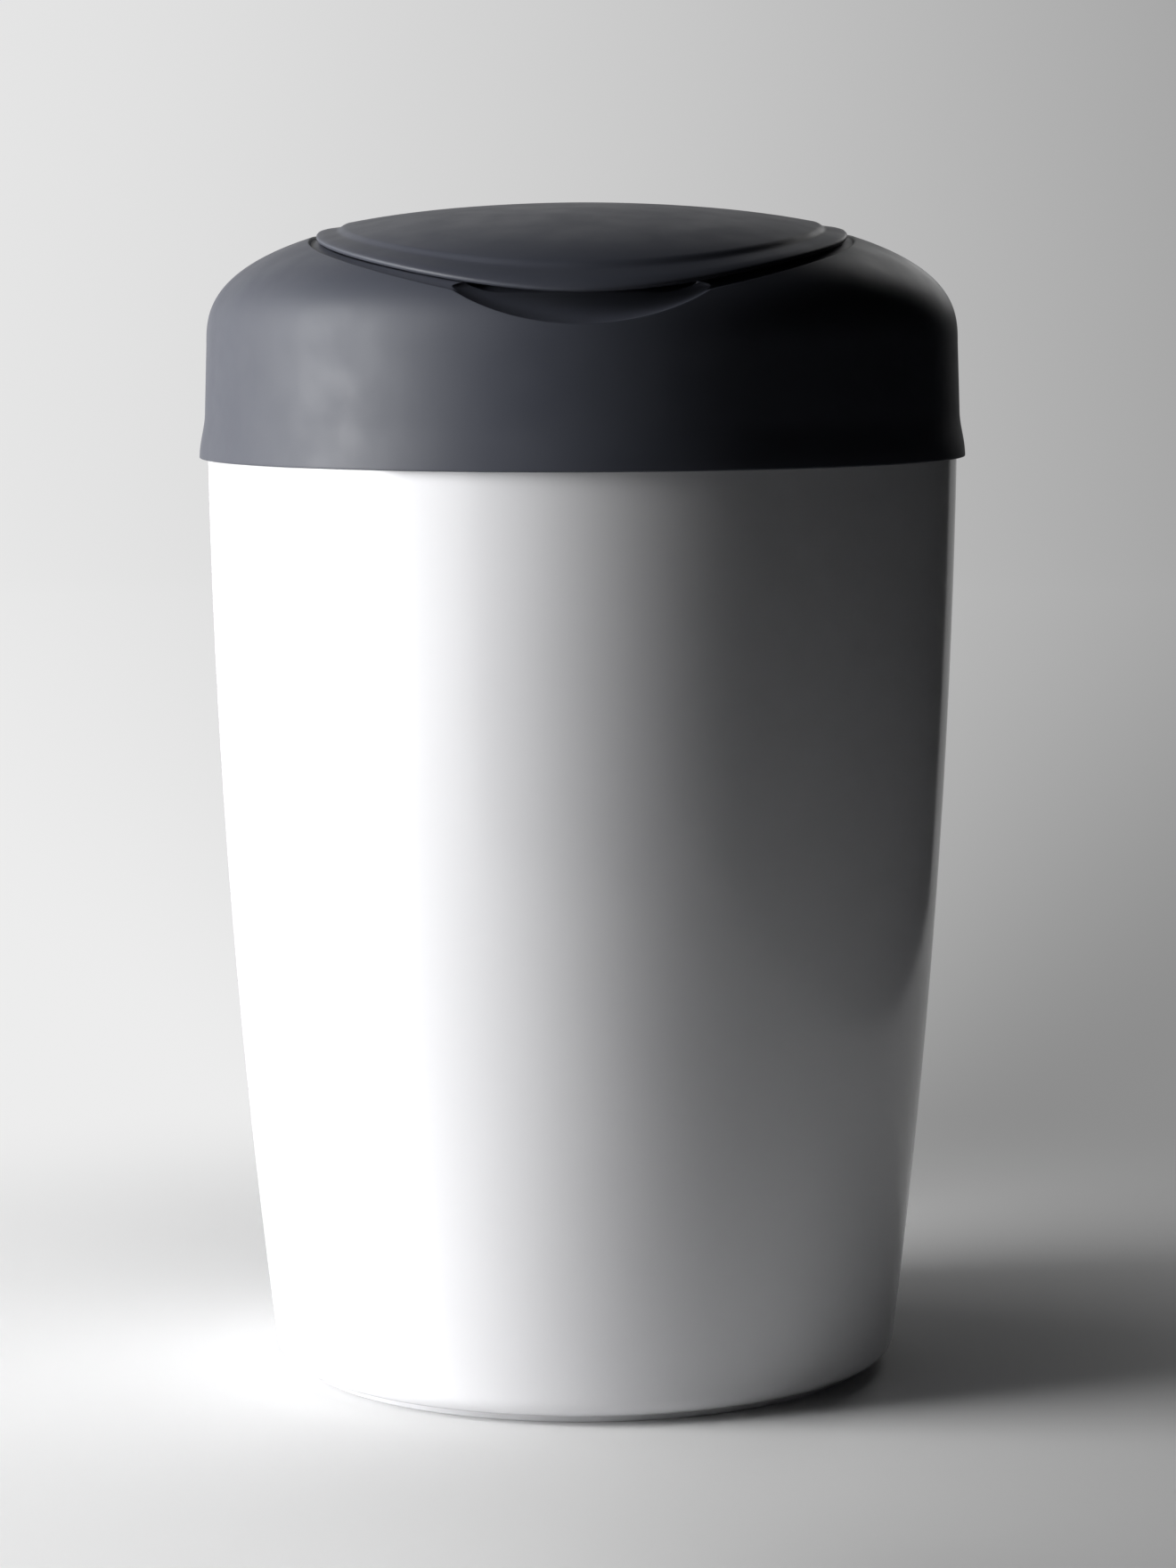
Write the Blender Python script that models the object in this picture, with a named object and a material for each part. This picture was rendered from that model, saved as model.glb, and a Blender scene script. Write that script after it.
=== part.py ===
"""A nappy bin: a tapered white tub, a domed grey cover with a hinged lid, and a twisting film cassette.

Metres, +Z up. The front is -Y, and the origin is the middle of the foot, on the floor. The cover, its lid and
the mechanism lift off the tub as one unit. Under the lid a round film cassette stands in a carrier that turns
with clicks in a deck, so that each turn ties the film off over the last nappy.
"""

import math

import bmesh
import bpy
from mathutils import Vector

# Facets round the big shells, the mechanism and the small pins
SHELL_SIDES = 44
TURN_SIDES = 36
PIN_SIDES = 16
SCREW_SIDES = 8
TROUGH_SIDES = 20
SMOOTH_DEGREES = 30

# Clearances that several pieces share
GAP = 0.0003
OVERRUN = 0.002

# Tub: the shell, its foot and the spigot that the upper unit drops over
TUB_TOP_RADIUS = 0.13985
TUB_FOOT_RADIUS = 0.1176
TUB_BULGE = 0.00445
TUB_SHOULDER_Z = 0.344
TUB_WALL = 0.0026
TUB_BASE_WALL = 0.003
TUB_FILLET = 0.0075
TUB_FILLET_DEGREES = (0, 30, 60)
TUB_WALL_STEPS = 5
FOOT_HEIGHT = 0.003
FOOT_INSET = 0.0022
FOOT_WIDTH = 0.009
BASE_RECESS = 0.006
SHOULDER_HEIGHT = 0.004
SPIGOT_INSET = 0.0034
SPIGOT_HEIGHT = 0.018

# Cover: the skirt round the spigot and the dome above it
COVER_WALL = 0.0024
SKIRT_CLEARANCE = 0.00075
SKIRT_OVERLAP = 0.001
SKIRT_HEIGHT = 0.042
SKIRT_TAPER = 0.0008
FLARE = 0.0022
FLARE_HEIGHT = 0.0174
FLARE_STEPS = 3
DOME_RISE = 0.052
DOME_POWER_SHARE = 0.38
DOME_STEPS = 7
UNDERSIDE_STEPS = 4

# Lid: its plan outline is half an ellipse in front and a squarer curve behind, and it follows the dome. It
# is as much larger than the well as these margins say
LID_SIDE_MARGIN = 0.0110
LID_FRONT_MARGIN = 0.0143
LID_REAR_MARGIN = 0.0145
LID_CENTRE_OFFSET = 0.0054
FRONT_POWER_SHARE = 2.0
REAR_POWER_SHARE = 3.0
LID_RIM_DROP = 0.0008
LID_EDGE_ROUND = 0.0005
LID_BEAD_INSET = 0.0026
LID_BEAD_LIFT = 0.0013
LID_BORDER_INSET = 0.0068
LID_BORDER_LIFT = 0.0007
CROWN_INSET = 0.0100
CROWN_LIFT = 0.0015
CROWN_SHARES = (0.8, 0.45)

# Liner under the lid, with the two ribs that hold the seal
LINER_INSET = 0.0052
LINER_WALL = 0.0018
SEAL_INSET = 0.0096
SEAL_WIDTH = 0.0030
SEAL_RIB = 0.0009
SEAL_RIB_HEIGHT = 0.0014
SEAL_SIDE_PLAY = 0.0003
LINER_CLEARANCE = 0.0006

# Opening of the cover: a shallow recess round the lid, a channel under it and a collar down to the mechanism
RECESS_GAP = 0.0030
RECESS_STEP = 0.0003
RECESS_DEPTH = 0.0018
LEDGE_INSET = 0.0015
CHANNEL_STEP = 0.0006
CHANNEL_DEPTH = 0.0065
COLLAR_WALL = 0.0022
COLLAR_FLOOR_SHARE = 1.1

# Thumb scoop in front of the lid
SCOOP_HALF_WIDTH = 0.047
SCOOP_STAND_OFF = 0.0010
SCOOP_TUCK = 0.008
SCOOP_DROP = 0.0131
SCOOP_REACH = 0.0160
SCOOP_LIP_DROP = 0.0300
SCOOP_WALL = 0.0022
SCOOP_STATIONS = 14
SCOOP_SIDES = 16

# Hinge at the rear of the lid
HINGE_RADIUS = 0.0046
HINGE_SINK = 0.0002
KNUCKLE_HALF_WIDTH = 0.0343
HINGE_SIDE_PLAY = 0.0003
EAR_WIDTH = 0.0058
EAR_WEB_HALF = 0.0030
TROUGH_CLEARANCE = 0.0016
TROUGH_HALF_LENGTH = 0.050
ROD_RADIUS = 0.0015
ROD_PLAY = 0.0003
ROD_END_INSET = 0.0004

# Deck that carries the turning parts. Its well keeps this margin from the locator at the front
WELL_FRONT_MARGIN = 0.00835
DECK_WALL = 0.0025
DECK_EDGE_CLEARANCE = 0.0006
RIM_SEAL_HEIGHT = 0.0027
LOCATOR_CLEARANCE = 0.0009
LOCATOR_WALL = 0.0022
LOCATOR_DEPTH = 0.017
WELL_RADIUS = 0.086
WELL_WALL = 0.0024
WELL_DEPTH = 0.0508
WELL_RIM_RISE = 0.0142
BEARING_WALL = 0.0020
BEARING_HEIGHT = 0.0045
DECK_RIBS = 7
DECK_RIB_END_DEGREES = 20
DECK_RIB_WALL = 0.0018
DECK_RIB_HEIGHT = 0.010
DECK_RIB_REACH_SHARE = 0.625

# Carrier that turns in the well, with the ratchet teeth on its flange
CARRIER_CLEARANCE = 0.0010
CARRIER_WALL = 0.0022
CARRIER_FLOOR = 0.0024
CARRIER_HUB_PLAY = 0.0008
FLANGE_WALL = 0.0025
FLANGE_REACH = 0.0032
TOOTH_HEIGHT = 0.0016
COLLAR_PLAY = 0.0042

# Film cassette in the carrier
CASSETTE_PLAY = 0.0005
CASSETTE_WALL = 0.0016
CASSETTE_HEIGHT = 0.058
CASSETTE_TROUGH_WIDTH = 0.0253
CASSETTE_HUB_STEP = 0.0022
CASSETTE_LIP_RISE = 0.0045
CAP_WALL = 0.0018
CAP_HEM = 0.004
FILM_SLOT = 0.0036
GRIPS = 8
GRIP_HEIGHT = 0.012
GRIP_WIDTH = 0.016
GRIP_DEPTH = 0.0055
GRIP_ROUND_SIDES = 6
FILM_PLEATS = 3
FILM_PLEAT_DEPTH = 0.0016
FILM_HEIGHT = 0.046
FILM_PLAY = 0.0010

# Gripper under the throat, which keeps the twisted film from unwinding
FINGERS = 10
FINGER_SPREAD_SHARE = 0.86
FINGER_DROP = 0.021
FINGER_REACH = 0.032
FINGER_WALL = 0.0016
GRIPPER_WIDTH = 0.011
GRIPPER_WALL = 0.0022
CLAMP_WALL = 0.0030
CLAMP_STEP = 0.0025
CLAMP_WIDTH = 0.0105
CLAMP_SCREWS = 5
CLAMP_SCREW_STEP = 0.0070

# Click spring on the deck, against the ratchet teeth
SPRING_THICKNESS = 0.0013
SPRING_TIP_CLEARANCE = 0.0005
SPRING_TIP_REACH = 0.0018
SPRING_TIP_HALF = 0.0020
SPRING_TAIL_X = 0.024
SPRING_BLOCK_WIDTH = 0.012
SPRING_BLOCK_DEPTH = 0.010
SPRING_FOOT_HEIGHT = 0.005

# Film cutter under the rear of the deck, at this share of the way from the well to the locator
CUTTER_PLACE_SHARE = 0.4925
CUTTER_WIDTH = 0.046
CUTTER_DEPTH = 0.024
CUTTER_HEIGHT = 0.014
CUTTER_SLOT = 0.0035
CUTTER_SLOT_LENGTH = 0.028
CUTTER_MOUTH = 0.011
BLADE_THICKNESS = 0.0006
BLADE_WIDTH = 0.009
BLADE_LENGTH = 0.022
BLADE_POCKET_PLAY = 0.0004

# Screws, all of one thread size
SCREW_RADIUS = 0.0016
SCREW_HEAD_RADIUS = 0.0034
SCREW_HEAD_HEIGHT = 0.0024
SCREW_LENGTH = 0.012
SHORT_SCREW_LENGTH = 0.0045
SCREW_HOLE_PLAY = 0.0004
BOSS_RADIUS = 0.0046
BOSS_BORE_DEPTH = 0.015
BOSS_DEGREES = (50, 130, 205, 335)
BOSS_SHARES = (0.858, 0.858, 0.6852, 0.6852)

# Heights and radii that follow from the sizes above
SPIGOT_RADIUS = TUB_TOP_RADIUS - SPIGOT_INSET
SPIGOT_INNER_RADIUS = SPIGOT_RADIUS - TUB_WALL
TUB_RIM_Z = TUB_SHOULDER_Z + SHOULDER_HEIGHT + SPIGOT_HEIGHT
SKIRT_Z = TUB_SHOULDER_Z - SKIRT_OVERLAP
FLARE_RADIUS = TUB_TOP_RADIUS + SKIRT_CLEARANCE + COVER_WALL
SKIRT_RADIUS = FLARE_RADIUS - FLARE
DOME_RADIUS = SKIRT_RADIUS - SKIRT_TAPER
DOME_Z = SKIRT_Z + SKIRT_HEIGHT
DECK_Z = TUB_RIM_Z + GAP + RIM_SEAL_HEIGHT + GAP
DECK_TOP_Z = DECK_Z + DECK_WALL
DECK_RADIUS = DOME_RADIUS - COVER_WALL - DECK_EDGE_CLEARANCE + SKIRT_TAPER / 2
LOCATOR_RADIUS = SPIGOT_INNER_RADIUS - LOCATOR_CLEARANCE
LOCATOR_INNER_RADIUS = LOCATOR_RADIUS - LOCATOR_WALL
WELL_FLOOR_Z = DECK_Z - WELL_DEPTH
WELL_RIM_Z = DECK_TOP_Z + WELL_RIM_RISE
CARRIER_Z = WELL_FLOOR_Z + DECK_WALL + GAP
CARRIER_RADIUS = WELL_RADIUS - CARRIER_CLEARANCE
CARRIER_INNER_RADIUS = CARRIER_RADIUS - CARRIER_WALL
FLANGE_Z = WELL_RIM_Z + GAP
FLANGE_TOP_Z = FLANGE_Z + FLANGE_WALL
FLANGE_RADIUS = WELL_RADIUS + FLANGE_REACH
TOOTH_RADIUS = FLANGE_RADIUS + TOOTH_HEIGHT
COLLAR_Z = FLANGE_TOP_Z + COLLAR_PLAY
CASSETTE_Z = CARRIER_Z + CARRIER_FLOOR + GAP
CASSETTE_RADIUS = CARRIER_INNER_RADIUS - CASSETTE_PLAY
CASSETTE_TOP_Z = CASSETTE_Z + CASSETTE_HEIGHT
CASSETTE_HUB_RADIUS = CASSETTE_RADIUS - CASSETTE_TROUGH_WIDTH
CARRIER_HUB_RADIUS = CASSETTE_HUB_RADIUS - CASSETTE_HUB_STEP
THROAT_RADIUS = CARRIER_HUB_RADIUS - CARRIER_HUB_PLAY - BEARING_WALL
COLLAR_INSET = SEAL_INSET + SEAL_WIDTH
GRIPPER_Z = WELL_FLOOR_Z - GAP - GRIPPER_WALL
CLAMP_Z = GRIPPER_Z - GAP - CLAMP_WALL
CLAMP_INNER_RADIUS = THROAT_RADIUS + CLAMP_STEP
WELL_OUTER_RADIUS = WELL_RADIUS + WELL_WALL
TURN_Y = WELL_OUTER_RADIUS + WELL_FRONT_MARGIN - LOCATOR_INNER_RADIUS
TURN_CENTRE = Vector((0, TURN_Y))
WELL_REAR_Y = TURN_Y + WELL_OUTER_RADIUS
CUTTER_Y = WELL_REAR_Y + (LOCATOR_INNER_RADIUS - WELL_REAR_Y) * CUTTER_PLACE_SHARE
LID_CENTRE_Y = TURN_Y + LID_CENTRE_OFFSET
LID_HALF_WIDTH = WELL_RADIUS + LID_SIDE_MARGIN
LID_FRONT_DEPTH = WELL_RADIUS + LID_FRONT_MARGIN + LID_CENTRE_OFFSET
LID_REAR_DEPTH = WELL_RADIUS + LID_REAR_MARGIN - LID_CENTRE_OFFSET
SCOOP_RADIUS = DOME_RADIUS + SCOOP_STAND_OFF


def dome_share(radius):
    """How much of the dome is left at this radius: 1 on its axis and 0 at its foot."""
    return max(1 - (radius / DOME_RADIUS) ** 2, 0)


def dome_height(radius):
    return DOME_Z + DOME_RISE * dome_share(radius) ** DOME_POWER_SHARE


def dome_normal(plan):
    """The direction square to the dome above a plan point."""
    share = dome_share(plan.length)
    if plan.length == 0:
        return Vector((0, 0, 1))
    outward = plan.normalized()
    if share == 0:
        return Vector((outward.x, outward.y, 0))
    fall = DOME_RISE * DOME_POWER_SHARE * 2 * plan.length / DOME_RADIUS**2
    fall *= share ** (DOME_POWER_SHARE - 1)
    return Vector((fall * outward.x, fall * outward.y, 1)).normalized()


def on_dome(plan, lift):
    """The point that stands off the dome by lift, above a plan point."""
    return Vector((plan.x, plan.y, dome_height(plan.length))) + dome_normal(plan) * lift


HINGE_Y = LID_CENTRE_Y + LID_REAR_DEPTH - HINGE_RADIUS
HINGE_Z = dome_height(HINGE_Y) + LID_BEAD_LIFT - HINGE_RADIUS - HINGE_SINK
HINGE = Vector((0, HINGE_Y, HINGE_Z))


def turns(sides, first=0.0):
    """Angles evenly round a circle."""
    return [first + 2 * math.pi * step / sides for step in range(sides)]


def direction(angle):
    return Vector((math.cos(angle), math.sin(angle)))


def circle(radius, height, sides, centre=Vector((0, 0))):
    return [
        Vector((centre.x + radius * math.cos(angle), centre.y + radius * math.sin(angle), height))
        for angle in turns(sides)
    ]


def lid_plan(angle, inset):
    """A plan point of the lid's outline, drawn in by inset, in this direction from the lid's middle."""
    toward = direction(angle)
    depth, power = LID_REAR_DEPTH, REAR_POWER_SHARE
    if toward.y < 0:
        depth, power = LID_FRONT_DEPTH, FRONT_POWER_SHARE
    across = abs(toward.x / (LID_HALF_WIDTH - inset)) ** power
    along = abs(toward.y / (depth - inset)) ** power
    return Vector((0, LID_CENTRE_Y)) + toward * (across + along) ** (-1 / power)


def lid_ring(inset, lift, sides=SHELL_SIDES):
    """A closed line round the lid that stands off the dome by lift."""
    return [on_dome(lid_plan(angle, inset), lift) for angle in turns(sides)]


def crown_ring(share, lift, sides=SHELL_SIDES):
    """The crown's edge line, shrunk to a share of its size about the lid's middle."""
    middle = Vector((0, LID_CENTRE_Y))
    return [
        on_dome(middle + (lid_plan(angle, CROWN_INSET) - middle) * share, lift)
        for angle in turns(sides)
    ]


def flat_ring(points, height):
    return [Vector((point.x, point.y, height)) for point in points]


def skin(rings, closed=False):
    """One closed mesh over the rings, in order. A ring of one point is a pole, and a plain end is capped."""
    mesh = bmesh.new()
    rows = [[mesh.verts.new(point) for point in ring] for ring in rings]
    pairs = list(zip(rows, rows[1:]))
    if closed:
        pairs.append((rows[-1], rows[0]))
    for low, high in pairs:
        for step in range(max(len(low), len(high))):
            corners = [
                low[step % len(low)],
                low[(step + 1) % len(low)],
                high[(step + 1) % len(high)],
                high[step % len(high)],
            ]
            mesh.faces.new(list(dict.fromkeys(corners)))
    if not closed:
        for row in (rows[0], rows[-1]):
            if len(row) > 1:
                mesh.faces.new(row)
    bmesh.ops.recalc_face_normals(mesh, faces=mesh.faces)
    return mesh


def revolve(profile, sides, centre=Vector((0, 0)), closed=True):
    """A turned shape. The profile is (radius, height), and a radius of 0 makes a pole."""
    rings = []
    for radius, height in profile:
        if radius == 0:
            rings.append([Vector((centre.x, centre.y, height))])
        else:
            rings.append(circle(radius, height, sides, centre))
    return skin(rings, closed)


def prism(outline, low, high):
    """A plan outline, carried from one height to another."""
    return skin([flat_ring(outline, low), flat_ring(outline, high)])


def block(low, high):
    outline = [Vector(pair) for pair in ((low.x, low.y), (high.x, low.y), (high.x, high.y), (low.x, high.y))]
    return prism(outline, low.z, high.z)


def bar_along_x(radius, start, end, sides, y=0.0, z=0.0):
    """A round bar parallel to the hinge."""
    ends = []
    for x in (start, end):
        ends.append([
            Vector((x, y + radius * math.cos(angle), z + radius * math.sin(angle)))
            for angle in turns(sides)
        ])
    return skin(ends)


def post(radius, low, high, sides, centre):
    return revolve([(radius, low), (radius, high)], sides, centre, closed=False)


def gathered(meshes):
    """Several separate solids in one mesh."""
    whole = bmesh.new()
    for part in meshes:
        scratch = bpy.data.meshes.new("scratch")
        part.to_mesh(scratch)
        whole.from_mesh(scratch)
        bpy.data.meshes.remove(scratch)
        part.free()
    return whole


def material(name, colour, roughness, metallic=0.0):
    made = bpy.data.materials.new(name)
    made.use_nodes = True
    shader = made.node_tree.nodes["Principled BSDF"]
    shader.inputs["Base Color"].default_value = (*colour, 1)
    shader.inputs["Roughness"].default_value = roughness
    shader.inputs["Metallic"].default_value = metallic
    return made


def place(name, mesh, parent=None):
    data = bpy.data.meshes.new(name)
    if parent:
        bmesh.ops.translate(mesh, vec=-parent.location, verts=mesh.verts)
    mesh.to_mesh(data)
    mesh.free()
    made = bpy.data.objects.new(name, data)
    bpy.context.scene.collection.objects.link(made)
    made.parent = parent
    return made


def piece(name, mesh, finish, parent=None):
    """One sub-part, in its own object, with its origin on the axis that it moves about."""
    made = place(name, mesh, parent)
    made.data.materials.append(finish)
    made.data.shade_smooth()
    made.data.set_sharp_from_angle(angle=math.radians(SMOOTH_DEGREES))
    return made


def cutter(name, mesh):
    """A helper solid that only takes part in Booleans."""
    made = place(name, mesh)
    made.hide_render = True
    made.display_type = "WIRE"
    return made


def combine(target, tool, operation):
    change = target.modifiers.new(tool.name, "BOOLEAN")
    change.operation = operation
    change.object = tool
    change.solver = "EXACT"


def axis_empty(name, location, parent=None):
    made = bpy.data.objects.new(name, None)
    bpy.context.scene.collection.objects.link(made)
    made.location = location
    if parent:
        made.parent = parent
    return made


def tub_radius(height):
    """Outer radius of the tub's wall, a shallow bulge between its foot and its shoulder."""
    low = FOOT_HEIGHT + TUB_FILLET
    share = (height - low) / (TUB_SHOULDER_Z - low)
    straight = TUB_FOOT_RADIUS + (TUB_TOP_RADIUS - TUB_FOOT_RADIUS) * share
    return straight + 4 * TUB_BULGE * share * (1 - share)


def tub_outer_profile():
    """From the foot up to the top of the spigot, down the outside."""
    foot_radius = TUB_FOOT_RADIUS - TUB_FILLET - FOOT_INSET
    profile = [(foot_radius, 0), (foot_radius, FOOT_HEIGHT)]
    fillet_z = FOOT_HEIGHT + TUB_FILLET
    for turn in TUB_FILLET_DEGREES:
        angle = math.radians(turn)
        profile.append((
            TUB_FOOT_RADIUS - TUB_FILLET * (1 - math.sin(angle)),
            fillet_z - TUB_FILLET * math.cos(angle),
        ))
    for step in range(TUB_WALL_STEPS + 1):
        height = fillet_z + (TUB_SHOULDER_Z - fillet_z) * step / TUB_WALL_STEPS
        profile.append((tub_radius(height), height))
    profile.append((SPIGOT_RADIUS, TUB_SHOULDER_Z + SHOULDER_HEIGHT))
    profile.append((SPIGOT_RADIUS, TUB_RIM_Z))
    return profile


def tub_inner_profile():
    """Down the inside from the top of the spigot to the floor's middle, then under the base to the foot."""
    floor_z = BASE_RECESS + TUB_BASE_WALL
    profile = [
        (SPIGOT_INNER_RADIUS, TUB_RIM_Z),
        (SPIGOT_INNER_RADIUS, TUB_SHOULDER_Z + SHOULDER_HEIGHT - TUB_WALL / 2),
    ]
    lowest = floor_z + TUB_FILLET
    steps = TUB_WALL_STEPS - 2
    for step in range(steps, -1, -1):
        height = lowest + (TUB_SHOULDER_Z - TUB_WALL / 2 - lowest) * step / steps
        profile.append((tub_radius(height) - TUB_WALL, height))
    corner = tub_radius(lowest) - TUB_WALL - TUB_FILLET
    halfway = TUB_FILLET * math.sqrt(1 / 2)
    profile += [(corner + halfway, lowest - halfway), (corner, floor_z), (0, floor_z), (0, BASE_RECESS)]
    foot_inner = TUB_FOOT_RADIUS - TUB_FILLET - FOOT_INSET - FOOT_WIDTH
    profile += [(foot_inner, BASE_RECESS), (foot_inner, 0)]
    return profile


def make_tub(white):
    profile = tub_outer_profile() + tub_inner_profile()
    middle = profile.index((0, BASE_RECESS))
    profile = profile[middle:] + profile[:middle]
    return piece("tub_shell", revolve(profile, SHELL_SIDES, closed=False), white)


def wall_rings(inward):
    """Skirt and flare of the cover, from the foot of the dome down, moved in by a wall."""
    rings = [circle(DOME_RADIUS - inward, DOME_Z, SHELL_SIDES)]
    flare_top = SKIRT_Z + FLARE_HEIGHT
    for step in range(FLARE_STEPS + 1):
        share = step / FLARE_STEPS
        radius = SKIRT_RADIUS + FLARE * (1 - math.cos(math.pi * share)) / 2
        rings.append(circle(radius - inward, flare_top - FLARE_HEIGHT * share, SHELL_SIDES))
    return rings


def dome_rings(steps, lift):
    """Lines on the dome from near its foot to the edge of the opening, closer together where it is steep."""
    rings = []
    for step in range(1, steps + 1):
        share = (step / steps) ** 3
        rings.append([
            on_dome((direction(angle) * DOME_RADIUS).lerp(lid_plan(angle, -RECESS_GAP), share), lift)
            for angle in turns(SHELL_SIDES)
        ])
    return rings


def opening_rings():
    """Down from the opening's edge: the recess, the channel for the lid's seal, and the collar's mouth."""
    return [
        lid_ring(RECESS_STEP - RECESS_GAP, -RECESS_DEPTH),
        lid_ring(LEDGE_INSET, -RECESS_DEPTH),
        lid_ring(LEDGE_INSET + CHANNEL_STEP, -CHANNEL_DEPTH),
        lid_ring(COLLAR_INSET, -CHANNEL_DEPTH),
    ]


def cover_shell():
    """The whole cover before its scoop and hinge: skirt, dome, opening and collar in one closed section."""
    collar_inner = lid_ring(COLLAR_INSET, -CHANNEL_DEPTH)
    collar_outer = lid_ring(COLLAR_INSET - COLLAR_WALL, -CHANNEL_DEPTH)
    under_channel = [point - Vector((0, 0, COVER_WALL * COLLAR_FLOOR_SHARE)) for point in collar_outer]
    return skin(
        wall_rings(0)[::-1]
        + dome_rings(DOME_STEPS, 0)
        + opening_rings()
        + [flat_ring(collar_inner, COLLAR_Z), flat_ring(collar_outer, COLLAR_Z), under_channel]
        + [lid_ring(0, -CHANNEL_DEPTH - COVER_WALL), lid_ring(-LEDGE_INSET, -RECESS_DEPTH - COVER_WALL)]
        + dome_rings(UNDERSIDE_STEPS, -COVER_WALL)[::-1]
        + wall_rings(COVER_WALL),
        closed=True,
    )


def cover_envelope():
    """The solid inside the middle of the cover's wall, which trims what is fused on from below."""
    half = COVER_WALL / 2
    collar = lid_ring(COLLAR_INSET - COLLAR_WALL / 2, -CHANNEL_DEPTH - half)
    return skin(
        [circle(DOME_RADIUS - half, DOME_Z, SHELL_SIDES)]
        + dome_rings(DOME_STEPS, -half)
        + [lid_ring(0, -RECESS_DEPTH - half), lid_ring(LEDGE_INSET / 2, -CHANNEL_DEPTH - half)]
        + [collar, flat_ring(collar, DOME_Z)],
        closed=True,
    )


def scoop(grown):
    """The hollow for the fingers: a bent bowl that fades out sideways. Grown by a wall, it is its bowl."""
    middle_z = DOME_Z + DOME_RISE - SCOOP_LIP_DROP
    half_angle = math.asin(SCOOP_HALF_WIDTH / (SCOOP_RADIUS - SCOOP_TUCK))
    half_angle *= 1 + grown / SCOOP_HALF_WIDTH
    rings = []
    for station in range(SCOOP_STATIONS + 1):
        side = -math.cos(math.pi * station / SCOOP_STATIONS)
        toward = direction(side * half_angle - math.pi / 2)
        radius = SCOOP_RADIUS - SCOOP_TUCK * side**2
        if station in (0, SCOOP_STATIONS):
            rings.append([Vector((toward.x * radius, toward.y * radius, middle_z))])
            continue
        reach = (SCOOP_REACH + grown) * math.sqrt(1 - side**2)
        drop = (SCOOP_DROP + grown) * (1 - side**2)
        section = []
        for angle in turns(SCOOP_SIDES):
            out = radius + reach * math.cos(angle)
            section.append(Vector((toward.x * out, toward.y * out, middle_z + drop * math.sin(angle))))
        rings.append(section)
    return skin(rings)


def add_scoop(cover, envelope):
    bowl = cutter("scoop_bowl", scoop(SCOOP_WALL))
    combine(bowl, envelope, "INTERSECT")
    combine(cover, bowl, "UNION")
    combine(cover, cutter("scoop_hollow", scoop(0)), "DIFFERENCE")


def hinge_bar(name, radius, start, end, sides=PIN_SIDES):
    return cutter(name, bar_along_x(radius, start, end, sides, HINGE_Y, HINGE_Z))


def add_hinge_seat(cover, envelope):
    """The trough that the lid's rear edge turns in, and the two ears that hold the rod."""
    trough_radius = HINGE_RADIUS + TROUGH_CLEARANCE
    wall_half = TROUGH_HALF_LENGTH + COVER_WALL
    trough_wall = hinge_bar("trough_wall", trough_radius + COVER_WALL, -wall_half, wall_half, TROUGH_SIDES)
    combine(trough_wall, envelope, "INTERSECT")
    combine(cover, trough_wall, "UNION")
    trough = hinge_bar("trough", trough_radius, -TROUGH_HALF_LENGTH, TROUGH_HALF_LENGTH, TROUGH_SIDES)
    combine(cover, trough, "DIFFERENCE")
    ear_start = KNUCKLE_HALF_WIDTH + HINGE_SIDE_PLAY
    ear_end = ear_start + EAR_WIDTH
    for side, name in ((-1, "left"), (1, "right")):
        ends = sorted((side * ear_start, side * ear_end))
        ear = hinge_bar(f"ear_{name}", HINGE_RADIUS, *ends)
        foot_z = HINGE_Z - trough_radius - COVER_WALL / 2
        web = block(
            Vector((ends[0], HINGE_Y - EAR_WEB_HALF, foot_z)),
            Vector((ends[1], HINGE_Y + EAR_WEB_HALF, HINGE_Z)),
        )
        combine(ear, cutter(f"ear_web_{name}", web), "UNION")
        combine(cover, ear, "UNION")
    reach = ear_end + OVERRUN
    combine(cover, hinge_bar("ear_bores", ROD_RADIUS + ROD_PLAY, -reach, reach), "DIFFERENCE")


def boss_centres():
    """Places between the ring of teeth and the locator, each at its own share of the way out."""
    centres = []
    for turn, share in zip(BOSS_DEGREES, BOSS_SHARES):
        toward = direction(math.radians(turn))
        along = toward.dot(TURN_CENTRE)
        teeth = along + math.sqrt(along**2 + TOOTH_RADIUS**2 - TURN_Y**2)
        centres.append(toward * (teeth + (LOCATOR_INNER_RADIUS - teeth) * share))
    return centres


def add_bosses(cover):
    """Posts under the dome for the screws that come up through the deck."""
    low = DECK_TOP_Z + GAP
    bore = SCREW_RADIUS + SCREW_HOLE_PLAY
    posts = []
    for centre in boss_centres():
        high = dome_height(centre.length + BOSS_RADIUS) - COVER_WALL / 2
        posts.append(post(BOSS_RADIUS, low, high, SCREW_SIDES, centre))
    combine(cover, cutter("bosses", gathered(posts)), "UNION")
    bores = [
        post(bore, low - OVERRUN, low + BOSS_BORE_DEPTH, SCREW_SIDES, centre)
        for centre in boss_centres()
    ]
    combine(cover, cutter("boss_bores", gathered(bores)), "DIFFERENCE")


def make_cover(grey, unit):
    cover = piece("top_cover", cover_shell(), grey, unit)
    envelope = cutter("cover_envelope", cover_envelope())
    add_scoop(cover, envelope)
    add_hinge_seat(cover, envelope)
    add_bosses(cover)


def lid_edge_rings():
    """Over the lid's edge from below: the rounded rim, its bead, the low border and the crown's edge."""
    shallow = LID_EDGE_ROUND / 2
    return [
        lid_ring(LID_EDGE_ROUND, -LID_RIM_DROP),
        lid_ring(0, shallow - LID_RIM_DROP),
        lid_ring(0, shallow),
        lid_ring(LID_EDGE_ROUND, LID_BEAD_LIFT - LID_EDGE_ROUND),
        lid_ring(LID_BEAD_INSET, LID_BEAD_LIFT),
        lid_ring(LID_BORDER_INSET, LID_BORDER_LIFT),
        lid_ring(CROWN_INSET, CROWN_LIFT),
    ]


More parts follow.
